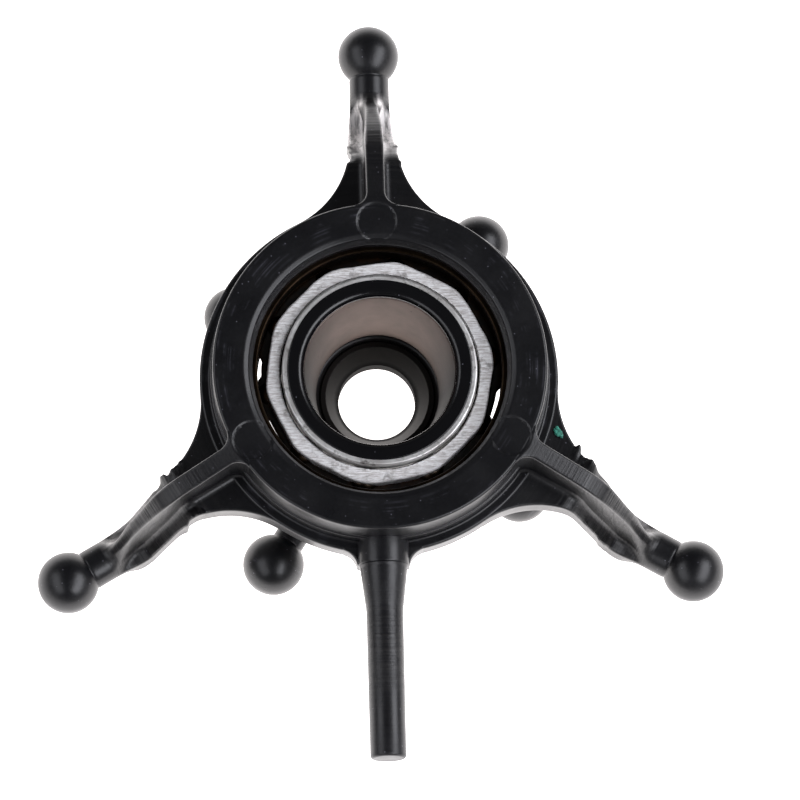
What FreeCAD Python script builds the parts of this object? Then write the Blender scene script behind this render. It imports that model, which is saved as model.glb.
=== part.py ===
"""Swashplate of a small model helicopter, in millimetres.

A non-rotating plate with three bent arms and a guide pin turns on a ten-ball bearing round the sleeve
of a rotating plate with four ball studs. A metal socket inside the sleeve holds a split liner and the
ball that slides on the rotor shaft.

The origin is the centre of the ball, on the shaft axis. +Z points out of the sleeve's open end, and +Y
points along the arm that lies opposite the guide pin.
"""

import FreeCAD, Part
import math
import os

Vector = FreeCAD.Vector
ORIGIN = Vector(0, 0, 0)
UP = Vector(0, 0, 1)

# Fits
SLIDING_GAP = 0.015           # ball bore round the shaft
RUNNING_GAP = 0.02            # spherical seats and ball tracks
CAGE_GAP = 0.12               # cage round the inner race
POCKET_GAP = 0.06             # cage pocket round a bearing ball

# Shaft ball, liner and tilt
SHAFT_DIAMETER = 3.0
BALL_RADIUS = 2.56
BALL_HALF_HEIGHT = 1.25
BALL_RIM = 0.2                # flat round the countersink
BALL_LAND = 0.7               # straight part of the bore
LINER_WALL = 0.32
TILT_LIMIT = 9.5              # degrees about each of the two tilt axes
TILT_SPARE = 1.0              # degrees left between the liner and the mouth

# Metal socket and its retaining ring
SHAFT_SWING = 0.91            # room round the shaft at the seat's mouth
SOCKET_WALL = 0.58            # round the spherical seat
SOCKET_THROAT_WALL = 0.27     # at the open end of the cone
SOCKET_COVER = 0.55           # plastic over the socket's shoulder
SOCKET_FOOT = 0.05            # below the seat's lower mouth
RETAINER_DROP = 0.4           # top of the retaining ring below the ball's centre

# Bearing
BEARING_BORE = 7.0
BEARING_OUTSIDE = 11.0
BEARING_WIDTH = 2.5
BEARING_MID_Z = 4.45
BEARING_BALL_COUNT = 10
BEARING_BALL_RADIUS = 0.6
FIRST_BEARING_BALL_ANGLE = 8.5
INNER_RACE_WALL = 0.3
OUTER_RACE_WALL = 0.75
RACE_EDGE = 0.08

# Pressed cage
CAGE_SHEET = 0.15
CAGE_LIFT = 0.15              # flat ring above the balls
CAGE_OUTSET = 0.065           # flat sides outside the pitch circle
CLAW_WRAP = 0.45              # claws below the balls' middles

# Rotating plate
SLEEVE_WALL = 0.3             # plastic between the metal socket and the inner race
SLEEVE_STAKE = 0.1            # rim staked over the inner race
SLEEVE_RISE = 0.06            # rim above the bearing's face
SLEEVE_CURL = 0.36            # height of the lip that closes over the socket
SLEEVE_EDGE = 0.06
LIP_SHOW = 0.03               # socket seen inside the lip
HUB_WALL = 0.75
HUB_STEP = 0.25               # hub below the inner race
HUB_STEP_WALL = 0.3
HUB_EDGE = 0.15
STUD_BALL_RADIUS = 1.2
ROTOR_LONG_REACH = 7.66
ROTOR_SHORT_REACH = 6.63
ROTOR_FIRST_ANGLE = 56.7
ROTOR_STUD_COUNT = 4
ROTOR_NECK_RADIUS = 0.635
ROTOR_ROOT_RADIUS = 0.9
ROTOR_ROOT_LENGTH = 1.1       # tapered root outside the hub

# Non-rotating plate
COLLAR_WALL = 1.0
COLLAR_RISE = 0.75            # above the bearing's face
COLLAR_EDGE = 0.12
RACE_SHOW = 0.19              # outer race seen inside the lip
LIP_HEIGHT = 0.3              # upright part of the lip over the race
LIP_FLARE = 0.21              # lip's widening up to the collar's face
LEDGE_DROP = 1.45             # small ledge below the collar's face
LEDGE_STEP = 0.08
FLANGE_STEP = 0.5             # flange beyond the collar
FLANGE_DROP = 2.1             # top of the flange below the collar's face
FLANGE_THICKNESS = 1.0
FLANGE_EDGE = 0.12
SKIRT_WALL = 0.7
MARK_RADIUS = 0.78            # round ejector marks on the collar's face
MARK_INSET = 0.72             # their centres inside the collar's edge
MARK_DEPTH = 0.12

# Bent arms
ARM_COUNT = 3
ARM_FIRST_ANGLE = 90.0
ARM_REACH = 14.16
ARM_BALL_Z = 0.45
ARM_NECK_RADIUS = 0.785
ARM_NECK_LENGTH = 1.8
STRIP_HALF_WIDTH = 0.95
STRIP_TIP_HALF_WIDTH = 0.68
STRIP_FILLET = 3.75           # between the strip's sides and the flange
STRIP_HEIGHT = 1.06           # upright, all along the strip
STRIP_KNEE = 2.52             # bend outside the collar
STRIP_KNEE_DROP = 0.23        # below the flange's middle
STRIP_KNEE_ROUND = 0.7
STRIP_ANKLE = 3.12            # bend inside the ball
STRIP_ANKLE_DROP = 0.48       # below the ball's centre
STRIP_ANKLE_ROUND = 0.9
STRIP_END_DROP = 0.35         # where the neck starts, below the ball's centre
RIB_HALF_WIDTH = 0.36
RIB_FILLET = 0.6              # between the rib's sides and the collar
RIB_KNEE = 3.3
RIB_KNEE_DROP = 0.82          # below the collar's face
RIB_KNEE_ROUND = 2.5
RIB_ANKLE = 1.46
RIB_ANKLE_RISE = 0.95         # above the ball's centre
RIB_ANKLE_ROUND = 1.2

# Guide pin
PIN_ANGLE = 270.0
PIN_RADIUS = 0.7
PIN_REACH = 15.1
PIN_END_EDGE = 0.12
PIN_LIFT = 0.45               # axis above the flange's middle
PIN_ROOT_RADIUS = 0.93
PIN_ROOT_LENGTH = 1.75
PIN_BOSS_RADIUS = 1.0
PIN_BOSS_LIFT = 0.35          # axis above the flange's middle
PIN_BOSS_STEP = 0.5           # boss beyond the flange
PIN_FILLET = 0.8

# Worked out from the sizes above
BALL_BORE_RADIUS = SHAFT_DIAMETER / 2 + SLIDING_GAP
LINER_INSIDE = BALL_RADIUS + RUNNING_GAP
LINER_OUTSIDE = LINER_INSIDE + LINER_WALL
SEAT_RADIUS = LINER_OUTSIDE + RUNNING_GAP
MOUTH_RADIUS = SHAFT_DIAMETER / 2 + SHAFT_SWING
MOUTH_Z = math.sqrt(SEAT_RADIUS**2 - MOUTH_RADIUS**2)
MOUTH_ANGLE = math.degrees(math.asin(MOUTH_Z / SEAT_RADIUS))
LINER_RIM_Z = LINER_OUTSIDE * math.sin(math.radians(MOUTH_ANGLE - TILT_LIMIT - TILT_SPARE))

BEARING_TOP_Z = BEARING_MID_Z + BEARING_WIDTH / 2
BEARING_BOTTOM_Z = BEARING_MID_Z - BEARING_WIDTH / 2
BEARING_RADIUS = BEARING_OUTSIDE / 2
SLEEVE_RADIUS = BEARING_BORE / 2
INNER_RACE_RADIUS = SLEEVE_RADIUS + INNER_RACE_WALL
OUTER_RACE_INSIDE = BEARING_RADIUS - OUTER_RACE_WALL
PITCH_RADIUS = (INNER_RACE_RADIUS + OUTER_RACE_INSIDE) / 2

THROAT_RADIUS = SLEEVE_RADIUS - SLEEVE_WALL
SOCKET_RADIUS = SEAT_RADIUS + SOCKET_WALL
SOCKET_END_RADIUS = THROAT_RADIUS - SOCKET_THROAT_WALL
SLEEVE_END_Z = BEARING_TOP_Z + SLEEVE_RISE
SOCKET_END_Z = SLEEVE_END_Z - SLEEVE_CURL
SOCKET_BOTTOM_Z = -(MOUTH_Z + SOCKET_FOOT)
RETAINER_RADIUS = SEAT_RADIUS + SOCKET_WALL / 2
HUB_RADIUS = SOCKET_RADIUS + HUB_WALL
HUB_TOP_Z = BEARING_BOTTOM_Z - HUB_STEP
SHOULDER_Z = HUB_TOP_Z - SOCKET_COVER

COLLAR_RADIUS = BEARING_RADIUS + COLLAR_WALL
COLLAR_FACE_Z = BEARING_TOP_Z + COLLAR_RISE
LIP_RADIUS = OUTER_RACE_INSIDE + RACE_SHOW
FLANGE_RADIUS = COLLAR_RADIUS + FLANGE_STEP
FLANGE_TOP_Z = COLLAR_FACE_Z - FLANGE_DROP
FLANGE_BOTTOM_Z = FLANGE_TOP_Z - FLANGE_THICKNESS
FLANGE_MID_Z = (FLANGE_TOP_Z + FLANGE_BOTTOM_Z) / 2
SKIRT_RADIUS = BEARING_RADIUS + SKIRT_WALL
PLATE_BODY_RADIUS = (BEARING_RADIUS + COLLAR_RADIUS) / 2


def side(radius, height):
    """Point in the upright plane through the axis."""
    return Vector(radius, 0, height)


def sides_of(corners, index):
    """Directions from one corner of a closed outline back to the last corner and on to the next."""
    corner = corners[index][0]
    back = (corners[index - 1][0] - corner).normalize()
    ahead = (corners[(index + 1) % len(corners)][0] - corner).normalize()
    return back, ahead


def rounded_outline(corners):
    """Closed wire through (point, radius) corners, with a tangent arc wherever the radius isn't 0."""
    arcs = []
    ends = []
    for index, (corner, radius) in enumerate(corners):
        if radius == 0:
            ends.append((corner, corner))
            continue
        back, ahead = sides_of(corners, index)
        half_angle = back.getAngle(ahead) / 2
        reach = radius / math.tan(half_angle)
        middle = corner + (back + ahead).normalize() * (radius / math.sin(half_angle) - radius)
        ends.append((corner + back * reach, corner + ahead * reach))
        arcs.append(Part.Arc(ends[-1][0], middle, ends[-1][1]).toShape())
    following = ends[1:] + ends[:1]
    lines = [Part.LineSegment(here[1], there[0]).toShape() for here, there in zip(ends, following)]
    return Part.Wire(Part.__sortEdges__(arcs + lines))


def revolved(corners):
    """Solid of revolution about the shaft axis, from a closed profile of (point, bevel) corners."""
    points = []
    for index, (corner, bevel) in enumerate(corners):
        if bevel == 0:
            points.append(corner)
            continue
        back, ahead = sides_of(corners, index)
        points += [corner + back * bevel, corner + ahead * bevel]
    return Part.Face(Part.makePolygon(points + points[:1])).revolve(ORIGIN, UP, 360)


def turned(shape, angle):
    """Copy of a shape, turned about the shaft axis by an angle in degrees."""
    copy = shape.copy()
    copy.rotate(ORIGIN, UP, angle)
    return copy


def along_x(radius, start, stop, height):
    """Cylinder that lies along X at a height."""
    return Part.makeCylinder(radius, stop - start, side(start, height), Vector(1, 0, 0))


def taper_along_x(root_radius, tip_radius, start, stop, height):
    """Cone that lies along X at a height."""
    return Part.makeCone(root_radius, tip_radius, stop - start, side(start, height), Vector(1, 0, 0))


def ball(radius, centre):
    """Whole ball."""
    return Part.makeSphere(radius, centre)


def ball_stud(stem, neck_radius, reach, height):
    """Ball on a round stem along X at a height, turned from one profile of stem edges, neck and ball.

    The stem's edges run in the upright plane at height 0, from the axis to the start of the neck.
    """
    neck_end = reach - math.sqrt(STUD_BALL_RADIUS**2 - neck_radius**2)
    crown = side(reach, STUD_BALL_RADIUS)
    tip = side(reach + STUD_BALL_RADIUS, 0)
    stem_start = stem[0].Vertexes[0].Point
    stem_end = stem[-1].Vertexes[-1].Point
    edges = stem + [
        Part.LineSegment(stem_end, side(neck_end, neck_radius)).toShape(),
        Part.Arc(side(neck_end, neck_radius), crown, tip).toShape(),
        Part.LineSegment(tip, stem_start).toShape(),
    ]
    stud = Part.Face(Part.Wire(edges)).revolve(ORIGIN, Vector(1, 0, 0), 360)
    stud.translate(Vector(0, 0, height))
    return stud


def slab(bottom, top):
    """Wide slab between two heights."""
    reach = 3 * PIN_REACH
    return Part.makeBox(reach, reach, top - bottom, Vector(-reach / 2, -reach / 2, bottom))


def sideways(outline, half_width):
    """Solid from a closed outline in the upright plane, as thick as twice the half width along Y."""
    face = Part.Face(outline)
    face.translate(Vector(0, -half_width, 0))
    return face.extrude(Vector(0, 2 * half_width, 0))


def raised(points, distance):
    """Points moved upwards by a distance."""
    return [point + UP * distance for point in points]


def root_outline(circle_radius, half_width, tip_half_width, fillet, tip):
    """Plan of an arm: concave fillets leave a circle about the axis, and the sides narrow to the tip."""
    centre_y = half_width + fillet
    centre_x = math.sqrt((circle_radius + fillet)**2 - centre_y**2)
    centre = Vector(centre_x, centre_y, 0)
    on_circle = centre * (circle_radius / (circle_radius + fillet))
    on_side = Vector(centre_x, half_width, 0)
    towards = ((on_circle - centre).normalize() + (on_side - centre).normalize()).normalize()
    middle = centre + towards * fillet
    inner = Vector(BEARING_RADIUS / 2, on_circle.y, 0)
    far = Vector(tip, tip_half_width, 0)
    half = [inner, on_circle, middle, on_side, far]
    other = [Vector(point.x, -point.y, 0) for point in half]
    edges = [
        Part.LineSegment(half[0], half[1]).toShape(),
        Part.Arc(half[1], half[2], half[3]).toShape(),
        Part.LineSegment(half[3], half[4]).toShape(),
        Part.LineSegment(half[4], other[4]).toShape(),
        Part.LineSegment(other[4], other[3]).toShape(),
        Part.Arc(other[3], other[2], other[1]).toShape(),
        Part.LineSegment(other[1], other[0]).toShape(),
        Part.LineSegment(other[0], half[0]).toShape(),
    ]
    return Part.Face(Part.Wire(edges))


def tall(face):
    """Plan outline raised through the whole height of the part."""
    low = face.copy()
    low.translate(Vector(0, 0, -PIN_REACH))
    return low.extrude(Vector(0, 0, 2 * PIN_REACH))


def arm_strip():
    """Flat strip of a bent arm: out of the flange, down at the knee, and level again before the neck."""
    neck_start = ARM_REACH - ARM_NECK_LENGTH
    path = [
        side(BEARING_RADIUS, FLANGE_MID_Z),
        side(COLLAR_RADIUS + STRIP_KNEE, FLANGE_MID_Z - STRIP_KNEE_DROP),
        side(ARM_REACH - STRIP_ANKLE, ARM_BALL_Z - STRIP_ANKLE_DROP),
        side(neck_start, ARM_BALL_Z - STRIP_END_DROP),
    ]
    upper = raised(path, STRIP_HEIGHT / 2)
    lower = raised(path, -STRIP_HEIGHT / 2)
    rounding = [0, STRIP_KNEE_ROUND, STRIP_ANKLE_ROUND, 0]
    corners = list(zip(upper, rounding)) + list(zip(lower, rounding))[::-1]
    profile = sideways(rounded_outline(corners), FLANGE_RADIUS)
    plan = root_outline(FLANGE_RADIUS, STRIP_HALF_WIDTH, STRIP_TIP_HALF_WIDTH, STRIP_FILLET, ARM_REACH)
    return profile.common(tall(plan))


def arm_rib():
    """Raised rib of a bent arm, from the collar's face down to the top of the neck."""
    start = PLATE_BODY_RADIUS
    knee = COLLAR_RADIUS + RIB_KNEE
    corners = [
        (side(start, FLANGE_MID_Z), 0),
        (side(start, COLLAR_FACE_Z), 0),
        (side(COLLAR_RADIUS, COLLAR_FACE_Z), 0),
        (side(knee, COLLAR_FACE_Z - RIB_KNEE_DROP), RIB_KNEE_ROUND),
        (side(ARM_REACH - RIB_ANKLE, ARM_BALL_Z + RIB_ANKLE_RISE), RIB_ANKLE_ROUND),
        (side(ARM_REACH, ARM_BALL_Z + ARM_NECK_RADIUS / 2), 0),
        (side(ARM_REACH - STRIP_ANKLE, ARM_BALL_Z - STRIP_ANKLE_DROP), 0),
        (side(COLLAR_RADIUS + STRIP_KNEE, FLANGE_MID_Z - STRIP_KNEE_DROP), 0),
    ]
    profile = sideways(rounded_outline(corners), COLLAR_RADIUS)
    plan = root_outline(COLLAR_RADIUS, RIB_HALF_WIDTH, RIB_HALF_WIDTH, RIB_FILLET, ARM_REACH)
    return profile.common(tall(plan))


def bent_arm():
    """Arm of the non-rotating plate along X: strip, rib, round neck and ball."""
    neck_start = ARM_REACH - ARM_NECK_LENGTH
    root = side(neck_start - ARM_NECK_RADIUS, 0)
    diagonal = ARM_NECK_RADIUS * math.sqrt(0.5)
    on_root = side(neck_start - diagonal, diagonal)
    stem = [Part.Arc(root, on_root, side(neck_start, ARM_NECK_RADIUS)).toShape()]
    stud = ball_stud(stem, ARM_NECK_RADIUS, ARM_REACH, ARM_BALL_Z)
    return arm_strip().fuse([arm_rib(), stud])


def guide_pin():
    """Pin along X that keeps the plate from turning, with its tapered root, boss and small gusset."""
    height = FLANGE_MID_Z + PIN_LIFT
    boss_end = FLANGE_RADIUS + PIN_BOSS_STEP
    taper_end = boss_end + PIN_ROOT_LENGTH
    boss = along_x(PIN_BOSS_RADIUS, PLATE_BODY_RADIUS, boss_end, FLANGE_MID_Z + PIN_BOSS_LIFT)
    root = taper_along_x(PIN_ROOT_RADIUS, PIN_RADIUS, boss_end, taper_end, height)
    shank = along_x(PIN_RADIUS, taper_end, PIN_REACH - PIN_END_EDGE, height)
    tip_radius = PIN_RADIUS - PIN_END_EDGE
    tip = taper_along_x(PIN_RADIUS, tip_radius, PIN_REACH - PIN_END_EDGE, PIN_REACH, height)
    plan = root_outline(FLANGE_RADIUS, PIN_BOSS_RADIUS, PIN_BOSS_RADIUS, PIN_FILLET, PIN_REACH)
    gusset = tall(plan).common(slab(FLANGE_BOTTOM_Z, FLANGE_TOP_Z))
    gusset = gusset.common(Part.makeCylinder(boss_end, 2 * PIN_REACH, Vector(0, 0, -PIN_REACH)))
    return boss.fuse([root, shank, tip, gusset])


def plate_ring():
    """Collar, flange and skirt of the non-rotating plate round the bearing."""
    return revolved([
        (side(BEARING_RADIUS, BEARING_BOTTOM_Z), 0),
        (side(BEARING_RADIUS, BEARING_TOP_Z), 0),
        (side(LIP_RADIUS, BEARING_TOP_Z), 0),
        (side(LIP_RADIUS, BEARING_TOP_Z + LIP_HEIGHT), 0),
        (side(LIP_RADIUS + LIP_FLARE, COLLAR_FACE_Z), 0),
        (side(COLLAR_RADIUS, COLLAR_FACE_Z), COLLAR_EDGE),
        (side(COLLAR_RADIUS, COLLAR_FACE_Z - LEDGE_DROP), 0),
        (side(COLLAR_RADIUS + LEDGE_STEP, COLLAR_FACE_Z - LEDGE_DROP), 0),
        (side(COLLAR_RADIUS + LEDGE_STEP, FLANGE_TOP_Z), 0),
        (side(FLANGE_RADIUS, FLANGE_TOP_Z), FLANGE_EDGE),
        (side(FLANGE_RADIUS, FLANGE_BOTTOM_Z), FLANGE_EDGE),
        (side(SKIRT_RADIUS, FLANGE_BOTTOM_Z), 0),
        (side(SKIRT_RADIUS, BEARING_BOTTOM_Z), 0),
    ])


def fixed_plate():
    """Non-rotating plate, moulded in one piece with its arms, balls and guide pin."""
    limbs = [turned(bent_arm(), ARM_FIRST_ANGLE + index * 360 / ARM_COUNT) for index in range(ARM_COUNT)]
    limbs.append(turned(guide_pin(), PIN_ANGLE))
    bore = Part.makeCylinder(BEARING_RADIUS, 2 * PIN_REACH, Vector(0, 0, -PIN_REACH))
    plate = plate_ring().fuse([limb.cut(bore) for limb in limbs])
    mark_at = side(COLLAR_RADIUS - MARK_INSET, COLLAR_FACE_Z - MARK_DEPTH)
    mark = Part.makeCylinder(MARK_RADIUS, COLLAR_RISE, mark_at)
    marks = [turned(mark, ARM_FIRST_ANGLE + index * 360 / ARM_COUNT) for index in range(ARM_COUNT)]
    return plate.cut(marks)


def track():
    """Ring of round section that the bearing balls roll in."""
    return Part.makeTorus(PITCH_RADIUS, BEARING_BALL_RADIUS + RUNNING_GAP, Vector(0, 0, BEARING_MID_Z))


def race(inside, outside):
    """Bearing race with small chamfers on its four edges and a ball track."""
    ring = revolved([
        (side(inside + RACE_EDGE, BEARING_BOTTOM_Z), 0),
        (side(outside - RACE_EDGE, BEARING_BOTTOM_Z), 0),
        (side(outside, BEARING_BOTTOM_Z + RACE_EDGE), 0),
        (side(outside, BEARING_TOP_Z - RACE_EDGE), 0),
        (side(outside - RACE_EDGE, BEARING_TOP_Z), 0),
        (side(inside + RACE_EDGE, BEARING_TOP_Z), 0),
        (side(inside, BEARING_TOP_Z - RACE_EDGE), 0),
        (side(inside, BEARING_BOTTOM_Z + RACE_EDGE), 0),
    ])
    return ring.cut(track())


def bearing_ball(index):
    """One ball of the bearing."""
    centre = side(PITCH_RADIUS, BEARING_MID_Z)
    angle = FIRST_BEARING_BALL_ANGLE + index * 360 / BEARING_BALL_COUNT
    return turned(ball(BEARING_BALL_RADIUS, centre), angle)


def many_sided(flat_radius, bottom, top):
    """Upright prism with a flat side between every two bearing balls and a corner over each ball."""
    step = 360 / BEARING_BALL_COUNT
    corner_radius = flat_radius / math.cos(math.radians(step / 2))
    first = turned(Part.Vertex(side(corner_radius, bottom)), FIRST_BEARING_BALL_ANGLE)
    points = [turned(first, index * step).Point for index in range(BEARING_BALL_COUNT + 1)]
    return Part.Face(Part.makePolygon(points)).extrude(Vector(0, 0, top - bottom))


def ball_cage():
    """Pressed cage: a flat ring above the balls, bent down at its sides into claws between them."""
    top = BEARING_MID_Z + BEARING_BALL_RADIUS + CAGE_LIFT + CAGE_SHEET
    claw_end = BEARING_MID_Z - CLAW_WRAP
    flat_radius = PITCH_RADIUS + CAGE_OUTSET
    outside = many_sided(flat_radius, claw_end, top)
    room = many_sided(flat_radius - CAGE_SHEET, claw_end, top - CAGE_SHEET)
    hole = Part.makeCylinder(INNER_RACE_RADIUS + CAGE_GAP, top, Vector(0, 0, 0))
    pocket = along_x(BEARING_BALL_RADIUS + POCKET_GAP, 0, PITCH_RADIUS * 2, BEARING_MID_Z)
    step = 360 / BEARING_BALL_COUNT
    pockets = [turned(pocket, FIRST_BEARING_BALL_ANGLE + index * step) for index in range(BEARING_BALL_COUNT)]
    return outside.cut([room, hole] + pockets)


def socket_sleeve():
    """Metal socket: long cone from the open end down to the mouth of the spherical seat."""
    profile = [
        (side(SOCKET_RADIUS, SOCKET_BOTTOM_Z), 0),
        (side(SOCKET_RADIUS, SHOULDER_Z), 0),
        (side(THROAT_RADIUS, SHOULDER_Z + SOCKET_RADIUS - THROAT_RADIUS), 0),
        (side(THROAT_RADIUS, SOCKET_END_Z), 0),
        (side(SOCKET_END_RADIUS, SOCKET_END_Z), 0),
        (side(MOUTH_RADIUS, MOUTH_Z), 0),
        (side(MOUTH_RADIUS, 0), 0),
        (side(SEAT_RADIUS, 0), 0),
        (side(SEAT_RADIUS, -RETAINER_DROP), 0),
        (side(RETAINER_RADIUS, -RETAINER_DROP), 0),
        (side(RETAINER_RADIUS, SOCKET_BOTTOM_Z), 0),
    ]
    return revolved(profile).cut(ball(SEAT_RADIUS, ORIGIN))


def retaining_ring():
    """Ring pressed into the socket under the liner, with the lower half of the spherical seat."""
    height = -RETAINER_DROP - SOCKET_BOTTOM_Z
    blank = Part.makeCylinder(RETAINER_RADIUS, height, Vector(0, 0, SOCKET_BOTTOM_Z))
    hole = Part.makeCylinder(MOUTH_RADIUS, height, Vector(0, 0, SOCKET_BOTTOM_Z))
    return blank.cut([hole, ball(SEAT_RADIUS, ORIGIN)])


def liner_half(bottom, top):
    """Half of the plastic liner round the shaft ball, between two heights."""
    shell = ball(LINER_OUTSIDE, ORIGIN).cut(ball(LINER_INSIDE, ORIGIN))
    return shell.common(slab(bottom, top))


def shaft_ball():
    """Ball with flat ends and a countersunk bore that slides on the rotor shaft."""
    face_radius = math.sqrt(BALL_RADIUS**2 - BALL_HALF_HEIGHT**2)
    sink_radius = face_radius - BALL_RIM
    land_half = BALL_LAND / 2
    sink_depth = BALL_HALF_HEIGHT - land_half
    height = 2 * BALL_HALF_HEIGHT
    blank = ball(BALL_RADIUS, ORIGIN).common(slab(-BALL_HALF_HEIGHT, BALL_HALF_HEIGHT))
    bore = Part.makeCylinder(BALL_BORE_RADIUS, height, Vector(0, 0, -BALL_HALF_HEIGHT))
    upper = Part.makeCone(BALL_BORE_RADIUS, sink_radius, sink_depth, Vector(0, 0, land_half))
    lower = Part.makeCone(BALL_BORE_RADIUS, sink_radius, sink_depth, Vector(0, 0, -land_half), -UP)
    return blank.cut([bore, upper, lower])


def rotor_hub():
    """Hub and sleeve of the rotating plate, moulded round the metal socket."""
    lip_radius = SOCKET_END_RADIUS + LIP_SHOW
    return revolved([
        (side(SOCKET_RADIUS, SOCKET_BOTTOM_Z), 0),
        (side(HUB_RADIUS, SOCKET_BOTTOM_Z), HUB_EDGE),
        (side(HUB_RADIUS, HUB_TOP_Z), HUB_EDGE),
        (side(SLEEVE_RADIUS + HUB_STEP_WALL, HUB_TOP_Z), 0),
        (side(SLEEVE_RADIUS + HUB_STEP_WALL, BEARING_BOTTOM_Z), 0),
        (side(SLEEVE_RADIUS, BEARING_BOTTOM_Z), 0),
        (side(SLEEVE_RADIUS, BEARING_TOP_Z), 0),
        (side(SLEEVE_RADIUS + SLEEVE_STAKE, BEARING_TOP_Z), 0),
        (side(SLEEVE_RADIUS + SLEEVE_STAKE, SLEEVE_END_Z), SLEEVE_EDGE),
        (side(lip_radius, SLEEVE_END_Z), 2 * SLEEVE_EDGE),
        (side(lip_radius, SOCKET_END_Z), 0),
        (side(THROAT_RADIUS, SOCKET_END_Z), 0),
        (side(THROAT_RADIUS, SHOULDER_Z + SOCKET_RADIUS - THROAT_RADIUS), 0),
        (side(SOCKET_RADIUS, SHOULDER_Z), 0),
    ])


def rotor_stud(reach):
    """Ball stud of the rotating plate along X, level with the centre of the shaft ball."""
    start = SOCKET_RADIUS + HUB_WALL / 2
    root = side(start, ROTOR_ROOT_RADIUS)
    neck_start = side(HUB_RADIUS + ROTOR_ROOT_LENGTH, ROTOR_NECK_RADIUS)
    stem = [
        Part.LineSegment(side(start, 0), root).toShape(),
        Part.LineSegment(root, neck_start).toShape(),
    ]
    return ball_stud(stem, ROTOR_NECK_RADIUS, reach, 0)


def rotating_plate():
    """Rotating plate: the hub with two opposite long studs and two opposite short ones between them."""
    reaches = [ROTOR_LONG_REACH, ROTOR_SHORT_REACH]
    studs = []
    for index in range(ROTOR_STUD_COUNT):
        angle = ROTOR_FIRST_ANGLE + index * 360 / ROTOR_STUD_COUNT
        studs.append(turned(rotor_stud(reaches[index % 2]), angle))
    return rotor_hub().fuse(studs).removeSplitter()


def parts():
    """Every piece by its name."""
    pieces = {
        "fixed_plate": fixed_plate(),
        "outer_race": race(OUTER_RACE_INSIDE, BEARING_RADIUS),
        "inner_race": race(SLEEVE_RADIUS, INNER_RACE_RADIUS),
        "ball_cage": ball_cage(),
        "rotating_plate": rotating_plate(),
        "socket_sleeve": socket_sleeve(),
        "retaining_ring": retaining_ring(),
        "liner_upper": liner_half(0, LINER_RIM_Z),
        "liner_lower": liner_half(-LINER_RIM_Z, 0),
        "shaft_ball": shaft_ball(),
    }
    for index in range(BEARING_BALL_COUNT):
        pieces[f"bearing_ball_{index + 1:02d}"] = bearing_ball(index)
    return pieces


os.makedirs("parts", exist_ok=True)
for name, shape in parts().items():
    shape.exportStep(f"parts/{name}.step")
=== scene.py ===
"""Swashplate of a small model helicopter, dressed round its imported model.

The non-rotating plate, the rotating plate, the bearing between them and the ball joint in the middle are
built as smooth surfaces, in metres, with +Z out of the sleeve's open end and +Y along the arm that lies
opposite the guide pin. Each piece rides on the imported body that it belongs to.
"""

import math
from functools import cache, partial

import bmesh
import bpy
import numpy as np
from bpy.props import FloatProperty, FloatVectorProperty, IntProperty, PointerProperty
from mathutils import Euler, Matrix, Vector


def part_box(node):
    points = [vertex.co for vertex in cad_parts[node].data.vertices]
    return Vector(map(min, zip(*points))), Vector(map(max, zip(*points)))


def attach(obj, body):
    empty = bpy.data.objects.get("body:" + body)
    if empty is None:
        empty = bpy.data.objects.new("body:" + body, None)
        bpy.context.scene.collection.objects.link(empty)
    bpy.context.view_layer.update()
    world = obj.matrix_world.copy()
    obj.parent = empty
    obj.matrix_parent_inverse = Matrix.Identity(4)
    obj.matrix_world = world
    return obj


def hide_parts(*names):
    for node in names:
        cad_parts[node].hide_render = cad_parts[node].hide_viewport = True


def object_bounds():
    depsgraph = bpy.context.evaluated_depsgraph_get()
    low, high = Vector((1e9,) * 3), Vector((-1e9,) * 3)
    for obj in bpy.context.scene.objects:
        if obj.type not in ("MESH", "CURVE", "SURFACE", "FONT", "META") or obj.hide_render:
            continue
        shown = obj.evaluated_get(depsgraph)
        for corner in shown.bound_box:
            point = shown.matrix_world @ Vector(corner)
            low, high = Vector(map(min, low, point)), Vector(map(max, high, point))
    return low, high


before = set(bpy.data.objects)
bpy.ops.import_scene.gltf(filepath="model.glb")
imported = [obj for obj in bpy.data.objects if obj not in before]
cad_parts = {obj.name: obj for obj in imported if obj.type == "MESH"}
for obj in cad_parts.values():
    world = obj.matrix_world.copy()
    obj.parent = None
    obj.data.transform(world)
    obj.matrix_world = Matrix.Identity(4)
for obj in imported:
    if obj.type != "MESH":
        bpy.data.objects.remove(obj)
cad_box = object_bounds()

bl_info = {
    "name": "Model Helicopter Swashplate",
    "version": (1, 0, 0),
    "blender": (4, 5, 0),
    "location": "3D View > Sidebar > Swashplate",
    "description": "Builds the plates, the bearing and the ball joint of a small swashplate",
    "category": "Object",
}

MM = 0.001
MICRON = 1e-6
PLATE_LOW, PLATE_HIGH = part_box("fixed_plate")
ROTOR_LOW, ROTOR_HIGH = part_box("rotating_plate")
OUTER_LOW, OUTER_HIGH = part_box("outer_race")
INNER_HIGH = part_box("inner_race")[1]
CAGE_LOW, CAGE_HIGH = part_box("ball_cage")
SOCKET_LOW, SOCKET_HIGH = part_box("socket_sleeve")
RING_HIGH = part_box("retaining_ring")[1]
LINER_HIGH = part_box("liner_upper")[1]
BALL_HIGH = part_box("shaft_ball")[1]
BEARING_MIDDLE = (OUTER_LOW.z + OUTER_HIGH.z) / 2

ARM_ANGLES = {"rear": 90.0, "left": 210.0, "right": 330.0}
ROTOR_ANGLES = (56.7, 146.7, 236.7, 326.7)
PIN_ANGLE = -90.0
BEARING_BALL_COUNT = 10
BALL_STEP = 2 * math.pi / BEARING_BALL_COUNT

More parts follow.
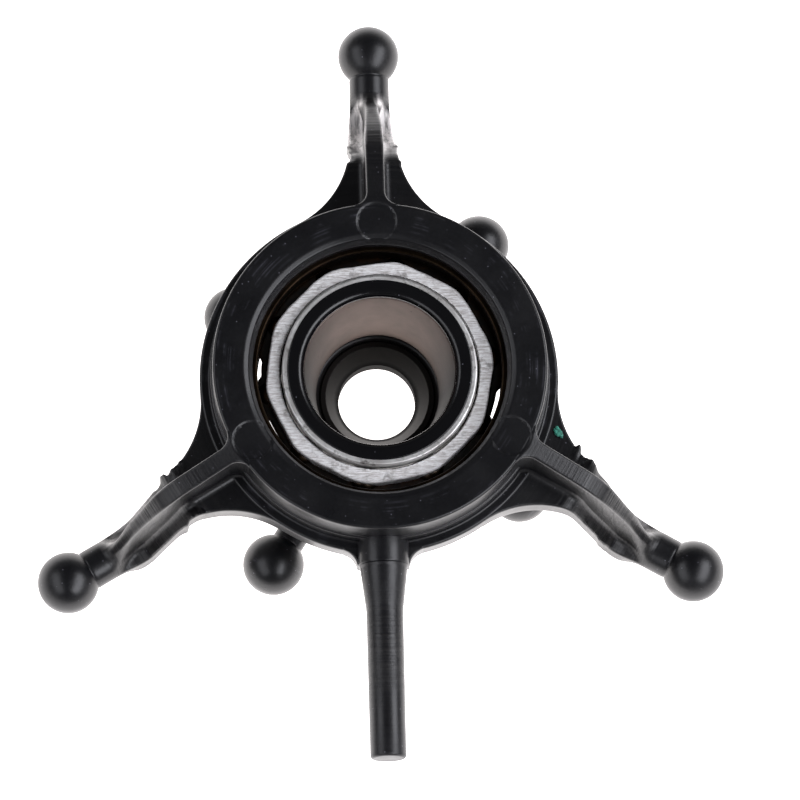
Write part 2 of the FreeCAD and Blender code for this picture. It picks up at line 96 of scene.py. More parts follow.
RUNNING_GAP = 20 * MICRON          # at the spherical seats and the ball tracks
SLEEVE_WALL = 0.3 * MM             # nylon between the socket and the inner race
SHOULDER_DROP = 0.8 * MM           # the socket's shoulder below the bearing
WELD = 0.05 * MICRON               # points closer than this are one
SINK = 0.02 * MM                   # how far a foot lies inside the round wall that carries it
ARC_STEPS = 6                      # faces round a small rounding
SUPPORT = 0.012 * MM               # from a rounding to the first point on a flat
SPACING = 0.3 * MM                 # longest face along the flats of a turned section
# Faces round the pin and studs, the hub and socket, the liner and shaft ball, the cage and its grease and
# painted shade
STUD_SIDES, SLEEVE_SIDES, JOINT_SIDES, CAGE_SIDES = 96, 240, 180, 720

# Torn flash on the arms, in mm: reach, side, length, push out and lift
WOUNDS = {
    "rear": ((9.1, 1, 0.7, -0.12, -0.1), (9.85, 1, 0.5, 0.09, 0.08), (9.9, -1, 0.4, 0.13, 0.1),
             (8.75, -1, 0.3, 0.05, 0)),
    "left": ((8.6, -1, 0.8, 0.07, 0.1), (9.2, -1, 0.35, 0.2, 0.08), (9.55, -1, 0.3, -0.12, 0),
             (8.9, 1, 1.1, 0.05, 0.3), (9.45, 1, 0.5, 0.12, 0.1)),
    "right": ((8.15, 1, 0.35, 0.26, 0.15), (8.8, 1, 1.0, 0.1, 0.2), (9.6, 1, 0.5, 0.05, 0.05),
              (9.9, -1, 0.9, 0.06, 0.35), (10.5, -1, 0.5, 0.08, 0.15)),
}


# ---------------------------------------------------------------- colours and nodes


def linear(code):
    """Linear RGBA of an sRGB hex colour."""
    parts = np.array([int(code[i:i + 2], 16) / 255 for i in (0, 2, 4)])
    low = parts / 12.92
    high = ((parts + 0.055) / 1.055) ** 2.4
    return (*np.where(parts <= 0.04045, low, high).tolist(), 1.0)


def add_node(tree, kind, inputs=(), **settings):
    """Adds a shader node with its settings and links.

    Inputs go by name, or in the order of the sockets in use. Each is a value, a node, which stands for its
    first output in use, or (node, output name).
    """
    made = tree.nodes.new("ShaderNode" + kind)
    for name, value in settings.items():
        setattr(made, name, value)
    sockets = [socket for socket in made.inputs if socket.enabled]
    if isinstance(inputs, dict):
        sockets = [made.inputs[name] for name in inputs]
        inputs = inputs.values()
    for socket, value in zip(sockets, inputs):
        if isinstance(value, bpy.types.Node):
            tree.links.new(next(output for output in value.outputs if output.enabled), socket)
        elif isinstance(value, tuple) and isinstance(value[0], bpy.types.Node):
            tree.links.new(value[0].outputs[value[1]], socket)
        else:
            socket.default_value = value
    return made


@cache
def material_of(finish):
    """Material of a finish, made once.

    A finish is a function below. It adds its pattern's nodes, by add and from Object coordinates, and gives
    back the inputs of the surface's shader.
    """
    material = bpy.data.materials.new(finish.__name__)
    material.use_nodes = True
    tree = material.node_tree
    tree.nodes.clear()
    add = partial(add_node, tree)
    shader = add("BsdfPrincipled", finish(add, (add("TexCoord"), "Object")))
    add("OutputMaterial", {"Surface": shader})
    return material


# ---------------------------------------------------------------- finishes


def painted_reflection(add, place, angle, low_side, high_side):
    """Mask for the pale streaks beside an arm's rib, painted reflection on its slopes along the bend.

    The arm is turned to X. The mask fades in and out along the arm, lies on faces that look up, between the
    rib and the strip's edge, at each side's strength, and stretched noise breaks it into streaks.
    """
    arm = add("VectorRotate", {"Vector": place, "Angle": -math.radians(angle)}, rotation_type="Z_AXIS")
    axes = add("SeparateXYZ", [arm])
    drawn_out = add("Mapping", {"Vector": arm, "Scale": (0.16, 1, 0.3)})
    grain = add("TexNoise", [drawn_out, 1 / (0.16 * MM), 4.0, 0.65])
    broken = add("MapRange", [grain, 0.36, 0.56, 0.3, 1.0])
    begin = add("MapRange", [(axes, "X"), 9.0 * MM, 9.9 * MM])
    end = add("MapRange", [(axes, "X"), 12.0 * MM, 12.5 * MM, 1.0, 0.0])
    from_middle = add("Math", [(axes, "X"), 10.75 * MM], operation="SUBTRACT")
    away = add("Math", [from_middle], operation="ABSOLUTE")
    spread = add("MapRange", [away, 0.4 * MM, 1.5 * MM, 1.3 * MM, 0.5 * MM])
    across = add("Math", [(axes, "Y")], operation="ABSOLUTE")
    room = add("Math", [spread, across], operation="SUBTRACT")
    within = add("MapRange", [room, 0.0, 0.22 * MM])
    high = add("MapRange", [(axes, "Y"), 0.24 * MM, 0.36 * MM, 0.0, high_side])
    low = add("MapRange", [(axes, "Y"), -0.36 * MM, -0.24 * MM, low_side, 0.0])
    facing = add("SeparateXYZ", [(add("NewGeometry"), "Normal")])
    upper = add("MapRange", [(facing, "Z"), 0.2, 0.42])
    mask = add("Math", [high, low], operation="MAXIMUM")
    for limit in (within, begin, end, upper, broken):
        mask = add("Math", [mask, limit], operation="MULTIPLY")
    return mask


def stained(add, place, tone, size, strength):
    """The tone, with brown oil stains of about that size here and there."""
    blots = add("TexNoise", [place, 1 / size, 5.0, 0.65])
    stain = add("MapRange", [blots, 0.56, 0.7, 0.0, strength])
    return add("Mix", [stain, tone, linear("3B2C20")], data_type="RGBA")


def clouded(add, place, size, grit, contrast, colours, depth, strength):
    """Inputs for soft patches of two colours, of about that size, in low relief of that depth."""
    cloud = add("TexNoise", [place, 1 / size, 3.0, grit])
    patchy = add("MapRange", [cloud, *contrast])
    tone = add("Mix", [patchy, *map(linear, colours)], data_type="RGBA")
    relief = add("Bump", {"Height": cloud, "Distance": depth, "Strength": strength})
    return {"Base Color": tone, "Normal": relief}


def nylon(add, place, gloss_range, dark, lines=0.0, streaks=(), worn=0.0):
    """Injection-moulded nylon, filled with glass fibre and pigmented black.

    The fibres leave a fine grain under a waxy skin, so its gloss is broad and soft, and long flow marks
    change it a little from place to place. The grain and the dust are drawn coarser than they are, 0.1 and
    0.36 mm apart, so that they show. Lines, where asked, are what the mould's cutter leaves across a slope
    or round the pin. Streaks are (arm angle, strength on each side) for the pale streaks of painted
    reflection on the arms' bends, and worn is the strength of rubbed arcs.
    """
    grain = add("TexNoise", [place, 1 / (0.1 * MM), 4.0, 0.65])
    flow = add("TexNoise", [place, 1 / (1.6 * MM), 3.0, 0.55])
    rubbed = add("TexNoise", [place, 1 / (1.1 * MM), 4.0, 0.6])
    dust = add("TexVoronoi", [place, 1 / (0.36 * MM)])
    axes = add("SeparateXYZ", [place])
    level = add("VectorMath", [place, (1, 1, 0)], operation="MULTIPLY")
    reach = add("VectorMath", [level], operation="LENGTH")
    height = add("Math", [(axes, "Z"), 0.15], operation="MULTIPLY")
    along = add("CombineXYZ", [reach, height])
    steps = add("TexNoise", [along, 1 / (0.11 * MM), 3.0, 0.65])

    starts = add("MapRange", [reach, 7.8 * MM, 10.2 * MM, 0.12, 0.9])
    stops = add("MapRange", [reach, 12.2 * MM, 12.7 * MM, 1.0, 0.0 if streaks else 0.3])
    zone = add("Math", [starts, stops], operation="MULTIPLY")
    ridges = add("MapRange", [steps, 0.4, 0.6])
    cut = add("Math", [ridges, zone], operation="MULTIPLY")
    milled = add("Math", [cut, 0.5 * lines], operation="MULTIPLY")
    patches = add("MapRange", [rubbed, 0.52, 0.66, 0.0, worn])
    crests = add("MapRange", [steps, 0.48, 0.64])
    arcs = add("Math", [patches, crests], operation="MULTIPLY")
    specks = add("MapRange", [dust, 0.04, 0.09, 1.0, 0.0])
    patchy = add("MapRange", [grain, 0.35, 0.75])

    base = tuple(bpy.context.scene.swash_finishes.nylon)
    colour = add("Mix", [patchy, base, linear(dark)], data_type="RGBA")
    marks = [(milled, "3A3836"), (arcs, "3C3C42"), (specks, "5E5E66")]
    # the pale streaks are painted reflection on the arms' slopes
    marks += [(painted_reflection(add, place, *streak), "F4EFED") for streak in streaks]
    for mask, tint in marks:
        colour = add("Mix", [mask, colour, linear(tint)], data_type="RGBA")
    gloss = add("MapRange", [flow, 0.3, 0.7, *gloss_range])
    skin = add("Bump", {"Height": grain, "Distance": 6 * MICRON, "Strength": 0.6})
    relief = add("Bump", {"Height": cut, "Distance": 12 * MICRON, "Strength": lines, "Normal": skin})
    return {"Base Color": colour, "Roughness": gloss, "IOR": 1.53, "Normal": relief}


def black_nylon(add, place):
    """Nylon of the turned and flat faces, smooth from the mould, with rubbed arcs."""
    return nylon(add, place, (0.27, 0.38), "131316", worn=1.0)


def pin_nylon(add, place):
    """Nylon of the guide pin, with fine turned lines from its mould."""
    return nylon(add, place, (0.28, 0.4), "17171C", lines=0.7)


def sleeve_nylon(add, place):
    """Nylon of the sleeve in the middle: darker, as painted shade in its recess, and glossy with oil from the
    bearing.
    """
    return nylon(add, place, (0.16, 0.24), "08080A")


def arm_nylon(add, place):
    """Nylon of the bent arms, with faint lines across and pale streaks of painted reflection on their slopes.
    """
    return nylon(add, place, (0.28, 0.4), "121216", lines=1.0,
                 streaks=((90, 1.0, 1.0), (210, 0.5, 0.0), (330, 0.0, 0.35)))


def steel(add, place, colours, roughness, streak, stretch, stain=0.0):
    """Bearing steel: a metal whose grinding or polishing leaves fine lines along the stretch.

    The real lines lie a few thousandths of a millimetre apart, and are drawn coarser so that they show.
    """
    along = add("Mapping", {"Vector": place, "Scale": stretch})
    lines = add("TexNoise", [along, 1 / streak, 4.0, 0.6])
    cloud = add("TexNoise", [place, 1 / (1.2 * MM), 3.0, 0.55])
    patchy = add("MapRange", [cloud, 0.35, 0.7])
    clean = add("Mix", [patchy, *map(linear, colours)], data_type="RGBA")
    tone = stained(add, place, clean, 0.45 * MM, stain)
    gloss = add("MapRange", [lines, 0.3, 0.7, roughness * 0.75, roughness * 1.25])
    relief = add("Bump", {"Height": lines, "Distance": 2 * MICRON, "Strength": 0.5})
    return {"Base Color": tone, "Metallic": 1.0, "Roughness": gloss, "Normal": relief}


def ground_race_steel(add, place):
    """Chrome steel race, ground, brown with oil, and nearly black as painted shade deep in the bearing."""
    return steel(add, place, ("2E241A", "120D09"), 0.38, 0.12 * MM, (1, 1, 6))


def polished_race_steel(add, place):
    """Chrome steel race, polished by hand: a white sheen with thin turned lines, stained with oil."""
    return steel(add, place, ("F2F1EF", "C8C5C2"), 0.5, 0.1 * MM, (1, 1, 4), stain=0.75)


def bearing_ball_steel(add, place):
    """Chrome steel ball, lapped smooth, its mirror tinted brown by oil and darkened as painted shade under
    the cage.
    """
    return steel(add, place, ("6E6152", "2A2119"), 0.2, 0.3 * MM, (1, 1, 1))


def ring_steel(add, place):
    """Turned steel ring: grey, with the lathe's fine rings."""
    return steel(add, place, ("9A9894", "77736E"), 0.35, 0.15 * MM, (1, 1, 5))


def brushed_cage_steel(add, place):
    """Cold-rolled steel strip, pressed and tumbled: short straight scratches scatter a white sheen.

    The scratches are drawn coarser than they are, so that they show.
    """
    turn = add("Mapping", {"Vector": place, "Rotation": (0, 0, math.radians(28)), "Scale": (1, 7, 3)})
    lines = add("TexNoise", [turn, 1 / (0.42 * MM), 5.0, 0.7])
    cloud = add("TexNoise", [place, 1 / (0.8 * MM), 3.0, 0.6])
    scratched = add("MapRange", [lines, 0.38, 0.6])
    bright = add("Mix", [scratched, linear("C4BFBC"), linear("FFFFFF")], data_type="RGBA")
    tone = stained(add, place, bright, 0.5 * MM, 0.55)
    gloss = add("MapRange", [cloud, 0.3, 0.7, 0.52, 0.66])
    relief = add("Bump", {"Height": lines, "Distance": 14 * MICRON, "Strength": 0.8})
    return {"Base Color": tone, "Metallic": 0.25, "Roughness": gloss, "Normal": relief}


def grease_and_painted_shade(add, place):
    """Bearing grease, wet, glossy and brown where it is thin; its black is partly painted shade in the gaps.
    """
    looks = clouded(add, place, 0.35 * MM, 0.6, (0.45, 0.75), ("0A0705", "2B1B0C"), 12 * MICRON, 0.7)
    return looks | {"Roughness": 0.3, "IOR": 1.47}


def green_paint(add, place):
    """Dab of green marking paint, dried with a rough edge."""
    looks = clouded(add, place, 0.12 * MM, 0.6, (0.4, 0.6), ("1E5A4E", "54B39B"), 8 * MICRON, 0.6)
    return looks | {"Roughness": 0.5, "IOR": 1.5}


def liner_acetal(add, place):
    """Moulded acetal, pigmented black: smooth, with a low waxy gloss."""
    looks = clouded(add, place, 0.9 * MM, 0.5, (0.3, 0.7), ("0E0D0D", "181615"), 4 * MICRON, 0.4)
    return looks | {"Roughness": 0.4, "IOR": 1.48}


def sintered_metal(add, place):
    """Pressed and sintered metal, oxidised: dull grey-brown, with dark pores, and darker towards -Y as
    painted shade.

    The grain and the pores are drawn coarser than they are, so that they show.
    """
    grain = add("TexNoise", [place, 1 / (0.07 * MM), 4.0, 0.65])
    cloud = add("TexNoise", [place, 1 / (1.0 * MM), 3.0, 0.6])
    pores = add("TexVoronoi", [place, 1 / (0.45 * MM)])
    axes = add("SeparateXYZ", [place])
    patchy = add("MapRange", [cloud, 0.3, 0.7])
    # painted shade: the socket's wall darkens towards -Y
    painted_shade_side = add("MapRange", [(axes, "Y"), -0.3 * MM, 2.4 * MM, 1.0, 0.0])
    pits = add("MapRange", [pores, 0.03, 0.09, 1.0, 0.0])
    colour = tuple(bpy.context.scene.swash_finishes.socket)
    for mask, tint in ((patchy, "7E7069"), (painted_shade_side, "1F1A18"), (pits, "2E2724")):
        colour = add("Mix", [mask, colour, linear(tint)], data_type="RGBA")
    relief = add("Bump", {"Height": grain, "Distance": 6 * MICRON, "Strength": 0.6})
    return {"Base Color": colour, "Metallic": 0.8, "Roughness": 0.5, "Normal": relief}


def dark_ball_steel(add, place):
    """Steel ball, almost black as painted shade in the socket: satin outside, dull black inside its bore."""
    grain = add("TexNoise", [place, 1 / (0.1 * MM), 4.0, 0.6])
    cloud = add("TexNoise", [place, 1 / (1.1 * MM), 3.0, 0.5])
    level = add("VectorMath", [place, (1, 1, 0)], operation="MULTIPLY")
    reach = add("VectorMath", [level], operation="LENGTH")
    # painted shade: on and near the bore's wall the ball is black and dull
    clean = add("MapRange", [reach, 1.56 * MM, 1.7 * MM])
    patchy = add("MapRange", [cloud, 0.3, 0.7])
    base = tuple(bpy.context.scene.swash_finishes.ball)
    tone = add("Mix", [patchy, base, linear("181310")], data_type="RGBA")
    colour = add("Mix", [clean, linear("050403"), tone], data_type="RGBA")
    gloss = add("MapRange", [clean, 0, 1, 0.85, 0.42])
    metal = add("MapRange", [clean, 0, 1, 0.0, 0.5])
    relief = add("Bump", {"Height": grain, "Distance": 4 * MICRON, "Strength": 0.5})
    return {"Base Color": colour, "Metallic": metal, "Roughness": gloss, "Normal": relief}


def studio_paper(add, place):
    """White paper on a light table: it glows most under the part, and less towards the table's edge."""
    fibre = add("TexNoise", [place, 1 / (4 * MM), 3.0, 0.5])
    patchy = add("MapRange", [fibre, 0.3, 0.7])
    tone = add("Mix", [patchy, linear("FFFFFF"), linear("FBFAF9")], data_type="RGBA")
    reach = add("VectorMath", [place], operation="LENGTH")
    near = add("MapRange", [reach, 8 * MM, 26 * MM, 1.95, 1.05])
    far = add("MapRange", [reach, 26 * MM, 60 * MM, 1.0, 0.3])
    glow = add("Math", [near, far], operation="MULTIPLY")
    return {"Base Color": tone, "Roughness": 0.9, "IOR": 1.45,
            "Emission Color": linear("FFFAF8"), "Emission Strength": glow}


# ---------------------------------------------------------------- surfaces


def unit(vector):
    """Vector of length 1 in the same direction."""
    return vector / np.linalg.norm(vector)


def smooth(value, low, high):
    """0 below low, 1 above high, and an S curve between, 3t^2 - 2t^3."""
    t = np.clip((value - low) / (high - low), 0, 1)
    return t * t * (3 - 2 * t)


def ripple(angle, waves):
    """Small irregular wave about 0: a sum of sines, each waves entry (turns, height, phase)."""
    return sum(height * np.sin(turns * angle + phase) for turns, height, phase in waves)


def around(sides):
    """Angles of a full turn in even steps."""
    return np.linspace(0, 2 * math.pi, sides, endpoint=False)


def arc(radius, angles):
    """Points of a circle, (r cos a, r sin a)."""
    return np.stack([radius * np.cos(angles), radius * np.sin(angles)], -1)


def outline(corners, spacing=SPACING, closed=True):
    """Points of an outline through corners of (across, along, rounding), and a spacing of their own if given.

    A rounding is a tangent arc: its centre plus its radius times a unit vector that turns evenly from the
    first tangent point to the second. The run after a corner is divided evenly into steps no longer than
    the spacing, between one point close to each of its ends, which keeps the flats flat in shading.
    """
    count = len(corners)
    places = np.array([corner[:2] for corner in corners])
    arcs = []
    for index, corner in enumerate(corners):
        here, radius = places[index], corner[2]
        if radius == 0:
            arcs.append(here[None])
            continue
        back = unit(places[index - 1] - here)
        ahead = unit(places[(index + 1) % count] - here)
        half = math.acos(np.clip(back @ ahead, -1, 1)) / 2
        centre = here + unit(back + ahead) * radius / math.sin(half)
        start = here + back * radius / math.tan(half) - centre
        end = here + ahead * radius / math.tan(half) - centre
        turn = np.linspace(0, math.pi - 2 * half, ARC_STEPS + 1)
        sign = np.sign(start[0] * end[1] - start[1] * end[0])
        cosine, sine = np.cos(turn), sign * np.sin(turn)
        arcs.append(centre + np.stack([cosine * start[0] - sine * start[1],
                                       sine * start[0] + cosine * start[1]], -1))
    points = []
    for index in range(count if closed else count - 1):
        begin, finish = arcs[index][-1], arcs[(index + 1) % count][0]
        points.append(arcs[index])
        length = np.linalg.norm(finish - begin)
        if length > 4 * SUPPORT:
            longest = corners[index][3] if len(corners[index]) > 3 else spacing
            steps = max(2, math.ceil(length / longest) + 1)
            share = np.linspace(SUPPORT / length, 1 - SUPPORT / length, steps)
            points.append(begin + share[:, None] * (finish - begin))
    if not closed:
        points.append(arcs[-1])
    return np.concatenate(points)


def bent_line(corners, spacing):
    """Line in the upright plane through (reach, height, bend radius) corners, evenly spaced."""
    drawn = outline(corners, spacing, closed=False)
    along = np.concatenate([[0], np.cumsum(np.linalg.norm(np.diff(drawn, axis=0), axis=1))])
    even = np.linspace(0, along[-1], math.ceil(along[-1] / spacing) + 1)
    return np.stack([np.interp(even, along, drawn[:, 0]), np.interp(even, along, drawn[:, 1])], -1)


def turned(profile, angles):
    """Surface of revolution: a profile point (r, z) goes round Z to (r cos a, r sin a, z)."""
    radius, height = profile[:, :1], profile[:, 1:]
    return np.stack([radius * np.cos(angles), radius * np.sin(angles), height + 0 * angles], -1)


def laid_along_x(points):
    """The same surface with its axis along X instead of Z: (x, y, z) becomes (z, y, -x)."""
    return np.stack([points[..., 2], points[..., 1], -points[..., 0]], -1)


def swung(points, degrees):
    """The same surface, turned about Z."""
    cosine, sine = math.cos(math.radians(degrees)), math.sin(math.radians(degrees))
    x, y = points[..., 0], points[..., 1]
    return np.stack([cosine * x - sine * y, sine * x + cosine * y, points[..., 2]], -1)


def gathered(row):
    """A row of points drawn together in its middle, which closes a grid's end."""
    return np.broadcast_to(row.mean(0), row.shape)[None]


def add_piece(name, points, finish, body, nodes, closed_rows=False):
    """Mesh of a grid of points, smooth, riding on a body in place of CAD nodes.

    Faces join each point to its neighbours in the grid, and the last column to the first. The last row
    joins the first only on a closed section. Rows of a single point become poles.
    """
    rows, columns = points.shape[:2]
    row, column = np.meshgrid(np.arange(rows if closed_rows else rows - 1), np.arange(columns), indexing="ij")
    below, beside = (row + 1) % rows, (column + 1) % columns
    quads = np.stack([row * columns + column, row * columns + beside,
                      below * columns + beside, below * columns + column], -1).reshape(-1, 4)
    mesh = bpy.data.meshes.new(name)
    mesh.from_pydata(points.reshape(-1, 3), [], quads)
    made = bmesh.new()
    made.from_mesh(mesh)
    bmesh.ops.remove_doubles(made, verts=made.verts, dist=WELD)
    bmesh.ops.recalc_face_normals(made, faces=made.faces)
    made.to_mesh(mesh)
    made.free()
    mesh.shade_smooth()
    mesh.materials.append(material_of(finish))
    piece = bpy.data.objects.new(name, mesh)
    bpy.context.scene.collection.objects.link(piece)
    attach(piece, body)
    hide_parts(*nodes)


# ---------------------------------------------------------------- shapes of the plates


def collar_marks(points, plate):
    """Sinks the round ejector marks into surfaces at the collar's face.

    Height falls by the mark's depth where the distance from a mark's centre is under its radius, with a
    short steep wall between.
    """
    wall_inside, wall_outside = 0.06 * MM, 0.03 * MM
    face_bottom, face_top = PLATE_HIGH.z - 0.25 * MM, PLATE_HIGH.z - 0.15 * MM
    lowered = points.copy()
    for angle in ARM_ANGLES.values():
        centre = swung(np.array([plate.mark_reach, 0, 0]), angle)
        away = np.hypot(points[..., 0] - centre[0], points[..., 1] - centre[1])
        inside = 1 - smooth(away, plate.mark_radius - wall_inside, plate.mark_radius + wall_outside)
        lowered[..., 2] -= plate.mark_depth * inside * smooth(points[..., 2], face_bottom, face_top)
    return lowered


def collar_profile(plate):
    """Section of collar, flange and skirt round the bearing, as outline corners."""
    face = PLATE_HIGH.z
    seat, top, bottom = OUTER_HIGH.x, OUTER_HIGH.z, OUTER_LOW.z
    ledge = plate.collar_radius + plate.ledge_step
    ledge_top = face - plate.ledge_drop
    flange_top = face - plate.flange_drop
    flange_bottom = flange_top - plate.flange_thickness
    face_spacing = 0.035 * MM                       # fine enough for the marks' walls
    return outline([
        (seat, bottom, 0.02 * MM),
        (seat, top, 0.02 * MM),
        (plate.lip_radius, top, 0.03 * MM),
        (plate.lip_radius, top + 0.32 * MM, 0.25 * MM),
        (plate.lip_radius + 0.16 * MM, face - 0.07 * MM, 0.12 * MM),
        (plate.lip_radius + 0.36 * MM, face, 0.3 * MM, face_spacing),
        (plate.collar_radius, face, 0.12 * MM),
        (plate.collar_radius, ledge_top, 0.05 * MM),
        (ledge, ledge_top - 0.02 * MM, 0.03 * MM),
        (ledge, flange_top, 0.1 * MM),
        (plate.flange_radius, flange_top, 0.12 * MM),
        (plate.flange_radius, flange_bottom, 0.12 * MM),
        (plate.skirt_radius, flange_bottom, 0.08 * MM),
        (plate.skirt_radius, bottom, 0.08 * MM),
    ])


def filleted_width(reach, ring, half_width, fillet, taper=0.0):
    """Half width of a bar that leaves a ring by a concave fillet, then draws in by the taper.

    The fillet's circle touches the ring and the bar's side: the width is its centre's distance from the
    middle less sqrt(fillet^2 - (centre - reach)^2), and no wider than where it touches the ring.
    """
    side = half_width + fillet
    start = math.sqrt((ring + fillet) ** 2 - side ** 2)
    curved = side - np.sqrt(np.maximum(fillet ** 2 - (start - reach) ** 2, 0))
    touching = ring * side / (ring + fillet) - SINK
    return np.where(reach < start, np.minimum(curved, touching), half_width - (reach - start) * taper)


def arm_section(width, rib, height, half_thickness, crest_edge):
    """Whole outline of the arm's T-shaped section, as (across, up) for every station at once.

    One half runs from the middle of the foot to the middle of the crest: the foot, its rounded corner and
    side, the strip's top, the concave fillet at the rib's root, the rib's side and its rounded crest. The
    other half is its mirror image, with no point twice.
    """
    width, rib, height, crest_edge = (values[:, None] for values in (width, rib, height, crest_edge))
    quarter = np.linspace(0, math.pi / 2, 7)
    cosine, sine = np.cos(quarter), np.sin(quarter)
    corner = 0.1 * MM
    rise = np.maximum(height - half_thickness, 0)
    root = np.minimum(np.minimum(0.3 * MM, 0.6 * (width - corner - rib)), 0.45 * rise)
    crest = np.minimum(crest_edge, 0.5 * rise)
    runs = (
        (np.linspace(0, 1, 8)[:-1] * (width - corner), -half_thickness),
        (width - corner + corner * sine, -half_thickness + corner - corner * cosine),
        (width, (half_thickness - corner) * np.linspace(-0.9, 0.9, 4)),
        (width - corner + corner * cosine, half_thickness - corner + corner * sine),
        (rib + root + (width - corner - rib - root) * np.linspace(0.96, 0.04, 9), half_thickness),
        (rib + root - root * sine, half_thickness + root - root * cosine),
        (rib, half_thickness + root + (rise - root - crest) * np.linspace(0.08, 0.92, 7)),
        (rib - crest + crest * cosine, height - crest + crest * sine),
        ((rib - crest) * np.linspace(1, 0, 7)[1:], height),
    )
    half = np.concatenate([np.stack(np.broadcast_arrays(across, up)) for across, up in runs], -1)
    return np.concatenate([half, half[..., -2:0:-1] * np.array([-1, 1])[:, None, None]], -1)


def torn_edges(points, half_width, wounds):
    """Roughens the strip's edges where flash was torn off, in (reach, side, length, push, lift) places in mm.

    Near an edge, the skin moves out by the push and up by the lift, times a bell over the place's length and
    a jagged sum of sines along the arm, which also shifts through the strip's height.
    """
    reach, across, up = points[..., 0] / MM, points[..., 1], points[..., 2] / MM
    share = across / half_width[:, None]
    moved = points.copy()
    for centre, side, length, push, lift in wounds:
        bell = 1 - smooth(np.abs(reach - centre), 0.15 * length, 0.5 * length)
        edge = smooth(side * share, 0.6, 1.0)
        jag = 0.75 + ripple(reach * 2 * math.pi, [(0.8, 0.35, centre + up), (1.7, 0.22, 2.3 * centre),
                                                  (4.3, 0.1, 0.7 * centre + 2 * up)])
        moved[..., 1] += side * push * MM * bell * edge * jag
        moved[..., 2] += lift * MM * bell * edge * jag
    return moved


def bent_arm(plate, wounds):
    """Arm along X in one skin: T-shaped strip and rib, round neck and ball.

    Upright sections stand along the arm. The strip's middle line and the rib's crest are bent lines, read
    as heights at each section. Past the ankle each outline point moves from the T to a circle, and the
    last rows are the neck and the ball, whose radius is R sin a at R cos a.
    """
    level = PLATE_HIGH.z - plate.flange_drop - plate.flange_thickness / 2
    reach = PLATE_HIGH.y - plate.ball_radius
    crest_top = PLATE_HIGH.z - 5 * MICRON
    line = bent_line([
        (OUTER_HIGH.x, level, 0),
        (plate.collar_radius + plate.knee, level - plate.knee_drop, 0.7 * MM),
        (reach - plate.ankle, plate.ball_height - plate.ankle_drop, 0.9 * MM),
        (reach - plate.neck_length, plate.ball_height - plate.end_drop, 0.5 * MM),
        (reach, plate.ball_height, 0),
    ], 0.02 * MM)
    crest = bent_line([
        (OUTER_HIGH.x, crest_top, 0),
        (plate.collar_radius, crest_top, 0.05 * MM),
        (plate.collar_radius + 3.3 * MM, PLATE_HIGH.z - 0.82 * MM, 2.5 * MM),
        (reach - 1.46 * MM, plate.ball_height + 0.95 * MM, 1.2 * MM),
        (reach, plate.ball_height + 0.4 * MM, 0),
    ], 0.02 * MM)

    neck = plate.neck_radius
    meet = math.asin(neck / plate.ball_radius)
    groove = reach - plate.ball_radius * math.cos(meet)
    station = np.arange(plate.skirt_radius - 0.35 * MM, groove - 0.1 * MM, 0.045 * MM)
    middle = np.interp(station, line[:, 0], line[:, 1])
    height = np.interp(station, crest[:, 0], crest[:, 1]) - middle
    width = filleted_width(station, plate.flange_radius, plate.strip_half_width, plate.strip_fillet,
                           plate.strip_taper)
    rib = filleted_width(station, plate.collar_radius, plate.rib_half_width, plate.rib_fillet)
    slope = smooth(station, reach - 4.6 * MM, reach - 3.0 * MM)
    across, up = arm_section(width, rib * (1 - 0.3 * slope), height, plate.strip_height / 2,
                             0.1 * MM + 0.14 * MM * slope)

    # the circle's points take their angles from a section short of the neck, half evened out
    pattern = np.argmin(np.abs(station - (reach - 2.5 * MM)))
    polar = np.unwrap(np.arctan2(up[pattern], across[pattern]))
    steps = np.hypot(np.diff(across[pattern]), np.diff(up[pattern]))
    run = np.concatenate([[0], np.cumsum(steps)])
    even = polar[0] + 2 * math.pi * run / (run[-1] + steps[-1])
    angle = 0.5 * polar + 0.5 * even
    blend = smooth(station, reach - 3.0 * MM, reach - 1.6 * MM)[:, None]
    across = across * (1 - blend) + neck * np.cos(angle) * blend
    up = (up + middle[:, None]) * (1 - blend) + (plate.ball_height + neck * np.sin(angle)) * blend
    body = torn_edges(np.stack([station[:, None] + 0 * up, across, up], -1), width, wounds)

    sweep = np.linspace(meet + 0.02, math.pi, 44)
    ring = np.concatenate([neck * np.array([0.99, 0.965]), plate.ball_radius * np.sin(sweep)])
    ring[-1] = 0
    place = np.concatenate([groove - np.array([0.05, 0.015]) * MM, reach - plate.ball_radius * np.cos(sweep)])
    ball = np.stack([place[:, None] + 0 * angle, ring[:, None] * np.cos(angle),
                     plate.ball_height + ring[:, None] * np.sin(angle)], -1)
    return np.concatenate([gathered(body[0]), body, ball])


def pin_profile(plate):
    """Section of the guide pin from its hidden root to its tip: boss, step, taper, shank and bevelled end."""
    root = plate.skirt_radius - 0.3 * MM
    boss_end = plate.flange_radius + 0.5 * MM
    tip = -PLATE_LOW.y
    return outline([
        (0, root, 0),
        (plate.pin_boss_radius, root, 0.02 * MM),
        (plate.pin_boss_radius, boss_end, 0.09 * MM),
        (plate.pin_radius + 0.26 * MM, boss_end, 0.03 * MM),
        (plate.pin_radius + 0.22 * MM, boss_end + 0.12 * MM, 0.03 * MM),
        (plate.pin_radius + 0.02 * MM, boss_end + 1.75 * MM, 2.0 * MM),
        (plate.pin_radius, tip, 0.12 * MM),
        (0, tip, 0),
    ], 0.4 * MM, closed=False)


